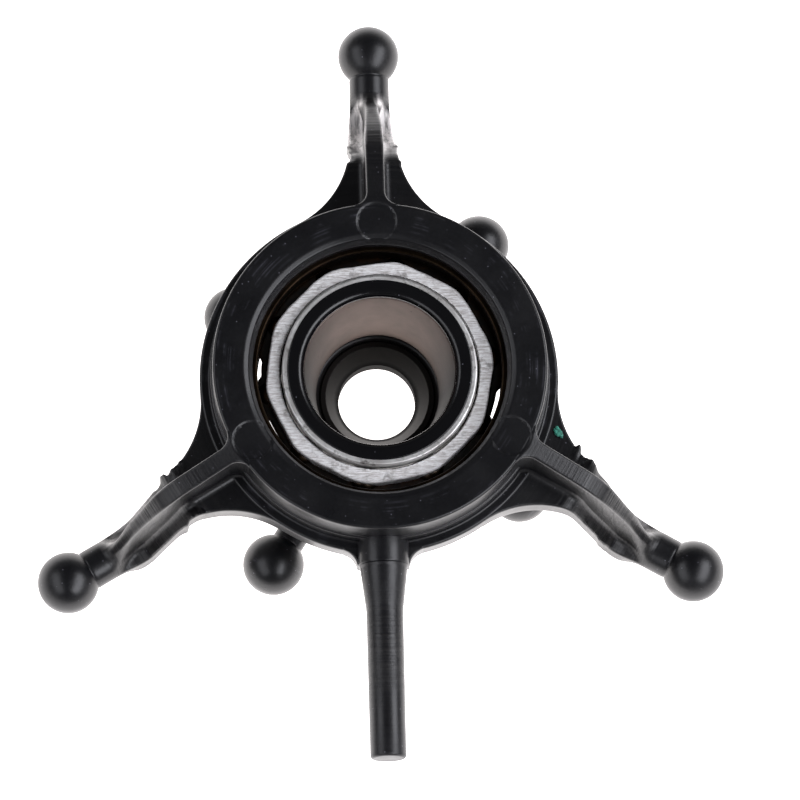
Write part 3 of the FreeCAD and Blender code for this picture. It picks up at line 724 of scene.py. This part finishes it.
def gusset(plate):
    """Small web beside the pin: the flange's height, its sides two concave fillets from the flange.

    Its sections are one rounded square, whose flats are stretched to the width and height at each reach.
    """
    inset = 4 * MICRON
    edge = 0.1 * MM
    half = plate.flange_thickness / 2 - inset
    middle = PLATE_HIGH.z - plate.flange_drop - plate.flange_thickness / 2
    reach = np.linspace(plate.skirt_radius - 0.2 * MM, plate.flange_radius + 0.45 * MM, 30)
    width = filleted_width(reach, plate.flange_radius, plate.pin_boss_radius, 0.8 * MM)
    square = outline([(1, -1, 0.1), (1, 1, 0.1), (-1, 1, 0.1), (-1, -1, 0.1)], 1.0)
    core = np.clip(square, -0.9, 0.9)
    flats, bends = core / 0.9, (square - core) * MM
    across = flats[:, 0] * (width[:, None] - edge) + bends[:, 0]
    up = middle + flats[:, 1] * (half - edge) + bends[:, 1]
    rows = np.stack([reach[:, None] + 0 * across, across, up + 0 * across], -1)
    return np.concatenate([gathered(rows[0]), rows, gathered(rows[-1])])


def rotor_stud(rotor, reach):
    """Ball stud along X: a tapered root, a round neck and the ball, turned from one profile."""
    radius, neck, root = rotor.ball_radius, rotor.neck_radius, rotor.root_radius
    start = rotor.hub_radius - 0.5 * MM
    neck_end = reach - math.sqrt(radius ** 2 - neck ** 2)
    stem = outline([
        (0, start, 0),
        (root, start, 0.02 * MM),
        (root, rotor.hub_radius - 0.1 * MM, 0.3 * MM),
        (neck, rotor.hub_radius + 1.1 * MM, 0.5 * MM),
        (neck, neck_end - 0.05 * MM, 0),
    ], closed=False)
    groove = np.array([[neck * 0.97, neck_end - 0.02 * MM]])
    sweep = np.linspace(math.asin(neck / radius) + 0.01, math.pi, 44) - math.pi / 2
    globe = arc(radius, sweep) + np.array([0, reach])
    globe[-1, 0] = 0
    return laid_along_x(turned(np.concatenate([stem, groove, globe]), around(STUD_SIDES)))


# ---------------------------------------------------------------- shapes of the bearing


def pitch_radius(bearing):
    """Radius of the circle that the bearing balls' centres lie on."""
    return (OUTER_HIGH.x - bearing.outer_wall + INNER_HIGH.x) / 2


def off_ball(angles, bearing):
    """Angle from the nearest bearing ball, on either side of it."""
    first = math.radians(bearing.first_ball_angle)
    return np.mod(angles - first + BALL_STEP / 2, BALL_STEP) - BALL_STEP / 2


def decagon(angles, bearing):
    """Radius of the cage's ten-sided edge: the flat's distance over the cosine of the angle from its middle,
    with soft corners and a small irregular wave."""
    worn = 0.2 * MM
    sharp = bearing.cage_flat_radius / np.cos(off_ball(angles - BALL_STEP / 2, bearing))
    corner = bearing.cage_flat_radius / math.cos(BALL_STEP / 2)
    rounded = sharp - np.maximum(sharp - (corner - worn), 0) ** 2 / (2 * worn)
    return rounded + ripple(angles, [(7, 8 * MICRON, 0.4), (13, 6 * MICRON, 2.1), (23, 7 * MICRON, 1.3),
                                     (41, 4 * MICRON, 0.2)])


def cage_surface(bearing):
    """Pressed cage, as a closed section carried round the ten-sided edge.

    The flat ring lies above the balls. Its side turns down by a quarter arc, and its lower edge is cut by a
    circle round each ball, height = centre + sqrt(pocket^2 - distance^2), so that claws stay between them.
    """
    angles = around(CAGE_SIDES)
    top, sheet = CAGE_HIGH.z, bearing.cage_sheet
    bend, inner_bend, edge_round = 0.09 * MM, 0.06 * MM, 0.03 * MM
    edge = decagon(angles, bearing)
    inner = INNER_HIGH.x + 0.08 * MM + ripple(angles, [(9, 5 * MICRON, 1.0), (17, 4 * MICRON, 0.3)])
    away = np.abs(off_ball(angles, bearing)) * pitch_radius(bearing)
    arch = BEARING_MIDDLE + np.sqrt(np.maximum(bearing.pocket_radius ** 2 - away ** 2, 0))
    low = CAGE_LOW.z + (arch - CAGE_LOW.z) * (away < bearing.pocket_radius)
    low = np.minimum(low, top - sheet - 0.05 * MM)
    hem = np.minimum(low, top - bend - 0.01 * MM)
    flat = np.linspace(0.03, 0.97, 8)
    rows = [(inner + edge_round, top)]
    rows += [(inner + share * (edge - bend - inner), top) for share in flat]
    rows += [(edge - bend + bend * math.sin(turn), top - bend + bend * math.cos(turn))
             for turn in np.linspace(0, math.pi / 2, 7)]
    rows += [(edge, (top - bend) * (1 - share) + hem * share) for share in np.linspace(0.05, 1, 7)]
    rows += [(edge - sheet, (top - sheet - inner_bend) * share + hem * (1 - share))
             for share in np.linspace(0, 1, 5)]
    rows += [(inner + share * (edge - sheet - inner_bend - inner), top - sheet) for share in flat[::-1]]
    rows += [(inner, top - sheet + edge_round), (inner, top - edge_round)]
    radius = np.stack([reach + 0 * angles for reach, _ in rows])
    height = np.stack([level + 0 * angles for _, level in rows])
    return np.stack([radius * np.cos(angles), radius * np.sin(angles), height], -1)


def race_profile(inside, outside, track_inside, bearing):
    """Section of a race: chamfered edges and a groove of round section for the balls.

    The groove's points lie at the pitch circle plus the track radius times (cos a, sin a), as far as the
    arc lies inside the ring. Points of the plain ring that the groove takes away are left out.
    """
    low, high, edge = OUTER_LOW.z, OUTER_HIGH.z, 0.08 * MM
    pitch = pitch_radius(bearing)
    track = bearing.ball_radius + RUNNING_GAP
    side = 1 if track_inside else -1
    wall = inside if track_inside else outside
    half = math.acos(side * (wall - pitch) / track)
    groove = arc(track, np.linspace(-half, half, 17)) * np.array([side, 1])
    groove += np.array([pitch, BEARING_MIDDLE])
    ring = outline([(inside, low, edge), (outside, low, edge), (outside, high, edge), (inside, high, edge)])
    off_wall = np.abs(ring[:, 0] - wall) >= 1e-9
    half_groove = np.abs(groove[0, 1] - BEARING_MIDDLE)
    clear = np.abs(ring[:, 1] - BEARING_MIDDLE) > half_groove + 5 * MICRON
    kept = ring[off_wall | clear]
    if track_inside:
        return np.concatenate([kept, groove[::-1]])
    split = np.argmax(kept[:, 1] > BEARING_MIDDLE)
    return np.concatenate([kept[:split], groove, kept[split:]])


# ---------------------------------------------------------------- sizes and colours a user would change


def length_property(name, description, millimetres):
    """A length that a user would change, with its default in millimetres."""
    return FloatProperty(name=name, description=description, default=millimetres * MM, unit="LENGTH")


def colour_property(name, description, code):
    """A colour that a user would change, with its default as sRGB hex."""
    return FloatVectorProperty(name=name, description=description, subtype="COLOR", size=4,
                               default=linear(code), min=0, max=1)


class PlateSizes(bpy.types.PropertyGroup):
    """Sizes of the non-rotating plate."""

    collar_radius: length_property("Collar radius", "Outside of the collar", 6.5)
    lip_radius: length_property("Lip radius", "Opening over the bearing", 4.94)
    flange_radius: length_property("Flange radius", "Outside of the flange", 7.0)
    flange_drop: length_property("Flange drop", "Collar's face to flange", 2.1)
    flange_thickness: length_property("Flange thickness", "Top to bottom", 1.0)
    ledge_drop: length_property("Ledge drop", "Collar's face to the small ledge", 1.45)
    ledge_step: length_property("Ledge step", "Small ledge beyond the collar", 0.08)
    skirt_radius: length_property("Skirt radius", "Under the flange", 6.2)
    mark_radius: length_property("Mark radius", "Round ejector marks", 0.78)
    mark_reach: length_property("Mark reach", "Marks' centres from the axis", 5.78)
    mark_depth: length_property("Mark depth", "Marks below the face", 0.05)
    strip_half_width: length_property("Arm half width", "Strip at its fillet", 0.95)
    strip_fillet: length_property("Arm fillet", "Strip to flange", 3.75)
    strip_taper: FloatProperty(name="Arm taper", description="Width lost along the arm", default=0.06,
                               subtype="FACTOR")
    strip_height: length_property("Arm height", "Upright height of the strip", 1.06)
    rib_half_width: length_property("Rib half width", "Rib on the arm", 0.36)
    rib_fillet: length_property("Rib fillet", "Rib to collar", 0.6)
    knee: length_property("Knee", "Upper bend outside the collar", 2.52)
    knee_drop: length_property("Knee drop", "Below the flange's middle", 0.23)
    ankle: length_property("Ankle", "Lower bend inside the ball", 3.12)
    ankle_drop: length_property("Ankle drop", "Below the ball's centre", 0.48)
    end_drop: length_property("End drop", "Strip's end below the ball's centre", 0.35)
    ball_radius: length_property("Ball radius", "Balls for the servo links", 1.2)
    ball_height: length_property("Ball height", "Above the shaft ball's centre", 0.45)
    neck_radius: length_property("Neck radius", "Round neck at the ball", 0.785)
    neck_length: length_property("Neck length", "Neck's start to the ball's centre", 1.8)
    pin_radius: length_property("Pin radius", "Guide pin's shank", 0.7)
    pin_height: length_property("Pin height", "Above the shaft ball's centre", 4.3)
    pin_boss_radius: length_property("Boss radius", "Guide pin's boss", 1.0)
    pin_boss_height: length_property("Boss height", "Above the shaft ball's centre", 4.2)


class RotorSizes(bpy.types.PropertyGroup):
    """Sizes of the rotating plate."""

    hub_radius: length_property("Hub radius", "Outside of the hub", 4.25)
    ball_radius: length_property("Ball radius", "Balls for the rotor links", 1.2)
    neck_radius: length_property("Neck radius", "Studs' necks", 0.635)
    root_radius: length_property("Root radius", "Studs' roots", 0.9)
    long_reach: length_property("Long reach", "First pair of balls", 7.66)
    short_reach: length_property("Short reach", "Second pair of balls", 6.63)


class BearingSizes(bpy.types.PropertyGroup):
    """Sizes of the bearing."""

    ball_radius: length_property("Ball radius", "Bearing balls", 0.6)
    bore_radius: length_property("Bore radius", "Inner race round the sleeve", 3.5)
    outer_wall: length_property("Outer wall", "Outer race's wall", 0.75)
    cage_flat_radius: length_property("Cage flat", "Axis to a flat side", 4.34)
    cage_sheet: length_property("Cage sheet", "Sheet's thickness", 0.15)
    pocket_radius: length_property("Pocket radius", "Cage round a ball", 0.66)
    first_ball_angle: FloatProperty(name="First ball", description="Angle of the first ball, in degrees",
                                    default=8.5)
    sides: IntProperty(name="Sides", description="Faces round each ring", default=288, min=48)


class JointSizes(bpy.types.PropertyGroup):
    """Sizes of the ball joint in the middle."""

    bore_radius: length_property("Bore radius", "Round the rotor shaft", 1.515)
    sink_radius: length_property("Countersink radius", "At the ball's face", 2.034)
    land: length_property("Land", "Straight part of the bore", 0.7)
    mouth_radius: length_property("Mouth radius", "Of the spherical seat", 2.41)
    mouth_height: length_property("Mouth height", "Above the ball's centre", 1.65)
    throat_radius: length_property("Throat radius", "Socket at its open end", 2.93)


class Finishes(bpy.types.PropertyGroup):
    """Colours of the finishes."""

    nylon: colour_property("Nylon", "Moulded plates", "0A0A0D")
    socket: colour_property("Socket", "Sintered socket", "8E7D75")
    # the shaft ball's near-black colour is painted shade for its place in the socket
    ball: colour_property("Shaft ball", "Blackened ball", "0C0A09")


# ---------------------------------------------------------------- operators


class SWASH_OT_collar(bpy.types.Operator):
    """Build the collar, flange and skirt of the non-rotating plate"""

    bl_idname = "swash.collar"
    bl_label = "Collar and flange"

    def execute(self, context):
        plate = context.scene.swash_plate
        coarse = [np.radians(np.arange(0, 360, 1.25))]
        fine = [np.radians(np.arange(angle - 9, angle + 9, 0.3)) for angle in ARM_ANGLES.values()]
        angles = np.unique(np.round(np.mod(np.concatenate(coarse + fine), 2 * math.pi), 6))
        add_piece("plate_collar", collar_marks(turned(collar_profile(plate), angles), plate), black_nylon,
                  "lower_plate", ["fixed_plate"], closed_rows=True)
        return {"FINISHED"}


class SWASH_OT_arms(bpy.types.Operator):
    """Build the three bent arms with their balls"""

    bl_idname = "swash.arms"
    bl_label = "Arms"

    def execute(self, context):
        plate = context.scene.swash_plate
        for name, angle in ARM_ANGLES.items():
            points = collar_marks(swung(bent_arm(plate, WOUNDS[name]), angle), plate)
            add_piece(f"plate_arm_{name}", points, arm_nylon, "lower_plate", ["fixed_plate"])
        return {"FINISHED"}


class SWASH_OT_guide_pin(bpy.types.Operator):
    """Build the guide pin, its boss and the web beside it"""

    bl_idname = "swash.guide_pin"
    bl_label = "Guide pin"

    def execute(self, context):
        plate = context.scene.swash_plate
        boss_end = plate.flange_radius + 0.505 * MM
        pin = laid_along_x(turned(pin_profile(plate), around(STUD_SIDES)))
        pin[..., 2] += np.where(pin[..., 0] < boss_end, plate.pin_boss_height, plate.pin_height)
        add_piece("plate_pin", swung(pin, PIN_ANGLE), pin_nylon, "lower_plate", ["fixed_plate"])
        add_piece("plate_pin_web", swung(gusset(plate), PIN_ANGLE), black_nylon, "lower_plate",
                  ["fixed_plate"])
        return {"FINISHED"}


class SWASH_OT_races(bpy.types.Operator):
    """Build the bearing's two races"""

    bl_idname = "swash.races"
    bl_label = "Races"

    def execute(self, context):
        bearing = context.scene.swash_bearing
        angles = around(bearing.sides)
        outer = race_profile(OUTER_HIGH.x - bearing.outer_wall, OUTER_HIGH.x, True, bearing)
        add_piece("race_outer", turned(outer, angles), ground_race_steel, "lower_plate", ["outer_race"],
                  closed_rows=True)
        inner = race_profile(bearing.bore_radius, INNER_HIGH.x, False, bearing)
        add_piece("race_inner", turned(inner, angles), polished_race_steel, "upper_plate", ["inner_race"],
                  closed_rows=True)
        return {"FINISHED"}


class SWASH_OT_bearing_balls(bpy.types.Operator):
    """Build the ten bearing balls"""

    bl_idname = "swash.bearing_balls"
    bl_label = "Bearing balls"

    def execute(self, context):
        globe = arc(context.scene.swash_bearing.ball_radius, np.linspace(-math.pi / 2, math.pi / 2, 25))
        globe[[0, -1], 0] = 0
        points = turned(globe, around(48))
        for index in range(BEARING_BALL_COUNT):
            node = f"bearing_ball_{index + 1:02d}"
            low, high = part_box(node)
            add_piece(f"steel_ball_{index + 1:02d}", points + np.array((low + high) / 2), bearing_ball_steel,
                      "ball_set", [node])
        return {"FINISHED"}


class SWASH_OT_cage(bpy.types.Operator):
    """Build the pressed cage round the bearing balls"""

    bl_idname = "swash.cage"
    bl_label = "Cage"

    def execute(self, context):
        add_piece("pressed_cage", cage_surface(context.scene.swash_bearing), brushed_cage_steel, "ball_set",
                  ["ball_cage"], closed_rows=True)
        return {"FINISHED"}


class SWASH_OT_grease(bpy.types.Operator):
    """Build old grease on both sides of the cage, filling the gaps dark as painted shade, open in three
    places outside it
    """

    bl_idname = "swash.grease"
    bl_label = "Grease and shade"

    def execute(self, context):
        bearing = context.scene.swash_bearing
        angles = around(CAGE_SIDES)
        sweep = around(16)[:, None]
        cage_side = bearing.cage_flat_radius - 0.06 * MM
        race_side = OUTER_HIGH.x - bearing.outer_wall + 0.02 * MM
        openings = ((175.5, 5, 0.17 * MM), (207.5, 7, 0.15 * MM), (343, 9, 0.16 * MM))
        for name, inside, outside, above, gaps in (
                ("grease_shade_outer", cage_side, race_side, 0.27 * MM, openings),
                ("grease_shade_inner", INNER_HIGH.x + 0.015 * MM, INNER_HIGH.x + 0.3 * MM, 0.62 * MM, ())):
            reach = outside + ripple(angles, [(11, 6 * MICRON, 0.3), (29, 5 * MICRON, 1.1)])
            for middle, width, depth in gaps:
                away = np.abs(np.mod(np.degrees(angles) - middle + 180, 360) - 180)
                reach = reach - depth * (1 - smooth(away, width - 2, width + 2))
            across = (inside + reach) / 2 + np.cos(sweep) * (reach - inside) / 2
            height = BEARING_MIDDLE + above + np.sin(sweep) * 0.07 * MM
            height = height + ripple(angles, [(10, 15 * MICRON, 0.8)])
            points = np.stack([across * np.cos(angles), across * np.sin(angles), height], -1)
            add_piece(name, points, grease_and_painted_shade, "ball_set", ["ball_cage"],
                      closed_rows=True)
        return {"FINISHED"}


class SWASH_OT_paint_dab(bpy.types.Operator):
    """Build the dab of marking paint on the flange, beside the right arm"""

    bl_idname = "swash.paint_dab"
    bl_label = "Paint dab"

    def execute(self, context):
        plate = context.scene.swash_plate
        angles = around(64)
        thickness = 0.03 * MM
        ring = np.sin(np.linspace(0, math.pi / 2, 8))[:, None]
        edge = ring * (1 + ripple(angles, [(3, 0.09, 0.5), (5, 0.08, 1.9), (11, 0.06, 0.2)]))
        height = PLATE_HIGH.z - plate.flange_drop + (1 - ring ** 4) * thickness + 0 * angles
        dome = np.stack([edge * np.cos(angles) * 0.25 * MM, edge * np.sin(angles) * 0.14 * MM, height], -1)
        rim = dome[-1] - np.array([0, 0, thickness])
        dab = np.concatenate([dome, rim[None], gathered(rim)])
        place = np.array([6.93, -2.3, 0]) * MM
        add_piece("paint_dab", swung(dab, -58) + place, green_paint, "lower_plate", ["fixed_plate"])
        return {"FINISHED"}


class SWASH_OT_hub(bpy.types.Operator):
    """Build the rotating plate's hub and sleeve, with their studs"""

    bl_idname = "swash.hub"
    bl_label = "Hub, sleeve and studs"

    def execute(self, context):
        rotor = context.scene.swash_rotor
        bottom, top = ROTOR_LOW.z, ROTOR_HIGH.z
        race_bottom, race_top = OUTER_LOW.z, OUTER_HIGH.z
        hub, hub_top = rotor.hub_radius, race_bottom - 0.25 * MM
        sleeve = context.scene.swash_bearing.bore_radius
        step, stake, throat = sleeve + 0.3 * MM, sleeve + 0.1 * MM, sleeve - SLEEVE_WALL
        lip = context.scene.swash_joint.throat_radius + 0.03 * MM
        socket, socket_top = SOCKET_HIGH.x, SOCKET_HIGH.z
        shoulder = race_bottom - SHOULDER_DROP
        profile = outline([
            (socket, bottom, 0.02 * MM),
            (hub, bottom, 0.15 * MM),
            (hub, hub_top, 0.15 * MM),
            (step, hub_top, 0.05 * MM),
            (step, race_bottom, 0.03 * MM),
            (sleeve, race_bottom, 0.02 * MM),
            (sleeve, race_top, 0),
            (stake, race_top, 0),
            (stake, top, 0.055 * MM),
            (lip, top, 0.25 * MM),
            (lip, socket_top, 0.01 * MM),
            (throat, socket_top, 0.02 * MM),
            (throat, shoulder + socket - throat, 0.02 * MM),
            (socket, shoulder, 0.02 * MM),
        ])
        add_piece("rotor_hub", turned(profile, around(SLEEVE_SIDES)), sleeve_nylon, "upper_plate",
                  ["rotating_plate"], closed_rows=True)
        for index, angle in enumerate(ROTOR_ANGLES):
            stud = rotor_stud(rotor, rotor.short_reach if index % 2 else rotor.long_reach)
            add_piece(f"rotor_stud_{index + 1}", swung(stud, angle), black_nylon, "upper_plate",
                      ["rotating_plate"])
        return {"FINISHED"}


class SWASH_OT_socket(bpy.types.Operator):
    """Build the sintered socket and its retaining ring"""

    bl_idname = "swash.socket"
    bl_label = "Socket and ring"

    def execute(self, context):
        joint = context.scene.swash_joint
        bottom, top, outside = SOCKET_LOW.z, SOCKET_HIGH.z, SOCKET_HIGH.x
        ring, ring_top = RING_HIGH.x, RING_HIGH.z
        seat = LINER_HIGH.x + RUNNING_GAP
        throat = context.scene.swash_bearing.bore_radius - SLEEVE_WALL
        shoulder = OUTER_LOW.z - SHOULDER_DROP
        mouth, meet = math.acos(joint.mouth_radius / seat), math.asin(ring_top / seat)
        shell = outline([
            (ring, ring_top, 0.01 * MM),
            (ring, bottom, 0.02 * MM),
            (outside, bottom, 0.03 * MM),
            (outside, shoulder, 0.02 * MM),
            (throat, shoulder + outside - throat, 0.02 * MM),
            (throat, top, 0.03 * MM),
            (joint.throat_radius, top, 0.03 * MM),
            (joint.mouth_radius, joint.mouth_height, 0),
        ], closed=False)
        dome = np.concatenate([arc(seat, np.linspace(mouth, meet, 24)), shell])
        add_piece("cast_socket", turned(dome, around(SLEEVE_SIDES)), sintered_metal, "upper_plate",
                  ["socket_sleeve"], closed_rows=True)
        rim = outline([
            (joint.mouth_radius, bottom, 0.02 * MM),
            (ring, bottom, 0.02 * MM),
            (ring, ring_top, 0.01 * MM),
        ], closed=False)
        dish = np.concatenate([arc(seat, np.linspace(meet, -mouth, 20)), rim])
        add_piece("press_ring", turned(dish, around(SLEEVE_SIDES)), ring_steel, "upper_plate",
                  ["retaining_ring"], closed_rows=True)
        return {"FINISHED"}


class SWASH_OT_liner(bpy.types.Operator):
    """Build the two halves of the liner round the shaft ball"""

    bl_idname = "swash.liner"
    bl_label = "Liner"

    def execute(self, context):
        outside, rim = LINER_HIGH.x, LINER_HIGH.z
        inside = BALL_HIGH.x + RUNNING_GAP
        section = np.concatenate([arc(outside, np.linspace(0, math.asin(rim / outside), 20)),
                                  arc(inside, np.linspace(math.asin(rim / inside), 0, 20))])
        half = turned(section, around(JOINT_SIDES))
        for side, up in (("upper", 1), ("lower", -1)):
            add_piece(f"liner_half_{side}", half * np.array([1, 1, up]), liner_acetal, "liner",
                      [f"liner_{side}"], closed_rows=True)
        return {"FINISHED"}


class SWASH_OT_shaft_ball(bpy.types.Operator):
    """Build the bored ball that slides on the rotor shaft"""

    bl_idname = "swash.shaft_ball"
    bl_label = "Shaft ball"

    def execute(self, context):
        joint = context.scene.swash_joint
        radius, half, land = BALL_HIGH.x, BALL_HIGH.z, joint.land / 2
        tilt = math.asin(half / radius)
        face = radius * math.cos(tilt)
        bore = outline([
            (face, half, 0),
            (joint.sink_radius, half, 0.03 * MM),
            (joint.bore_radius, land, 0.05 * MM),
            (joint.bore_radius, -land, 0.05 * MM),
            (joint.sink_radius, -half, 0.03 * MM),
            (face, -half, 0),
        ], 0.2 * MM, closed=False)
        dome = arc(radius, np.linspace(-tilt, tilt, 40)[1:-1])
        add_piece("bored_ball", turned(np.concatenate([dome, bore]), around(JOINT_SIDES)), dark_ball_steel,
                  "shaft_ball", ["shaft_ball"], closed_rows=True)
        return {"FINISHED"}


class SWASH_OT_stage(bpy.types.Operator):
    """Set up the floor, the soft lights and the camera"""

    bl_idname = "swash.stage"
    bl_label = "Stage"

    def execute(self, context):
        scene = context.scene
        side = 4.0
        low = cad_box[0].z - 0.02 * MM
        corners = [(-side, -side, low), (side, -side, low), (side, side, low), (-side, side, low)]
        floor_mesh = bpy.data.meshes.new("studio_floor")
        floor_mesh.from_pydata(corners, [], [(0, 1, 2, 3)])
        floor_mesh.materials.append(material_of(studio_paper))
        floor = bpy.data.objects.new("studio_floor", floor_mesh)
        scene.collection.objects.link(floor)

        turn = Euler((math.radians(13.76), math.radians(-1.43), math.radians(-1.42))).to_matrix()
        lens = bpy.data.cameras.new("studio_camera")
        lens.angle = math.radians(5.72)
        lens.clip_start, lens.clip_end = 0.01, 10
        camera = bpy.data.objects.new("studio_camera", lens)
        camera.location = Vector((0, 0, PLATE_HIGH.z)) + turn @ Vector((0.764 * MM, -1.353 * MM, 310 * MM))
        camera.rotation_euler = turn.to_euler()
        scene.collection.objects.link(camera)
        scene.camera = camera

        lean, distance = math.radians(43), 0.8
        for name, across, power in (("softbox_left", -1, 2.8), ("softbox_right", 1, 7.4)):
            lamp = bpy.data.lights.new(name, "AREA")
            lamp.shape = "RECTANGLE"
            lamp.size, lamp.size_y = 1.2, 0.45
            lamp.energy = power
            lamp.color = (0.93, 0.94, 1.0)
            box = bpy.data.objects.new(name, lamp)
            box.location = turn @ Vector((across * math.sin(lean), 0, math.cos(lean))) * distance
            box.rotation_euler = (-box.location).to_track_quat("-Z", "Y").to_euler()
            scene.collection.objects.link(box)

        world = bpy.data.worlds.new("studio_world")
        scene.world = world
        world.use_nodes = True
        world.node_tree.nodes.clear()
        add = partial(add_node, world.node_tree)
        axes = add("SeparateXYZ", [(add("TexCoord"), "Generated")])
        strength = add("MapRange", [(axes, "Z"), 0.0, 0.5, 0.3, 0.06])
        sky = add("Background", [linear("FFFFFF"), strength])
        add("OutputWorld", {"Surface": sky})
        scene.view_settings.view_transform = "Standard"
        return {"FINISHED"}


OPERATORS = (SWASH_OT_collar, SWASH_OT_arms, SWASH_OT_guide_pin, SWASH_OT_races, SWASH_OT_bearing_balls,
             SWASH_OT_cage, SWASH_OT_grease, SWASH_OT_paint_dab, SWASH_OT_hub, SWASH_OT_socket,
             SWASH_OT_liner, SWASH_OT_shaft_ball, SWASH_OT_stage)
GROUPS = {"swash_plate": PlateSizes, "swash_rotor": RotorSizes, "swash_bearing": BearingSizes,
          "swash_joint": JointSizes, "swash_finishes": Finishes}


class SWASH_PT_sidebar(bpy.types.Panel):
    """Swashplate pieces and sizes"""

    bl_idname = "SWASH_PT_sidebar"
    bl_label = "Swashplate"
    bl_space_type = "VIEW_3D"
    bl_region_type = "UI"
    bl_category = "Swashplate"

    def draw(self, context):
        for operator in OPERATORS:
            self.layout.operator(operator.bl_idname)
        for name in GROUPS:
            group = getattr(context.scene, name)
            for size in group.bl_rna.properties.keys():
                if size not in ("rna_type", "name"):
                    self.layout.prop(group, size)


CLASSES = (*GROUPS.values(), *OPERATORS, SWASH_PT_sidebar)


def register():
    """Registers the classes and hangs the property groups on the scene."""
    for cls in CLASSES:
        bpy.utils.register_class(cls)
    for name, group in GROUPS.items():
        setattr(bpy.types.Scene, name, PointerProperty(type=group))


def unregister():
    """Takes the property groups and classes away again."""
    for name in GROUPS:
        delattr(bpy.types.Scene, name)
    for cls in reversed(CLASSES):
        bpy.utils.unregister_class(cls)


def main():
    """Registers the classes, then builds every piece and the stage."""
    register()
    for operator in OPERATORS:
        group, name = operator.bl_idname.split(".")
        getattr(getattr(bpy.ops, group), name)()


if __name__ == "__main__":
    main()
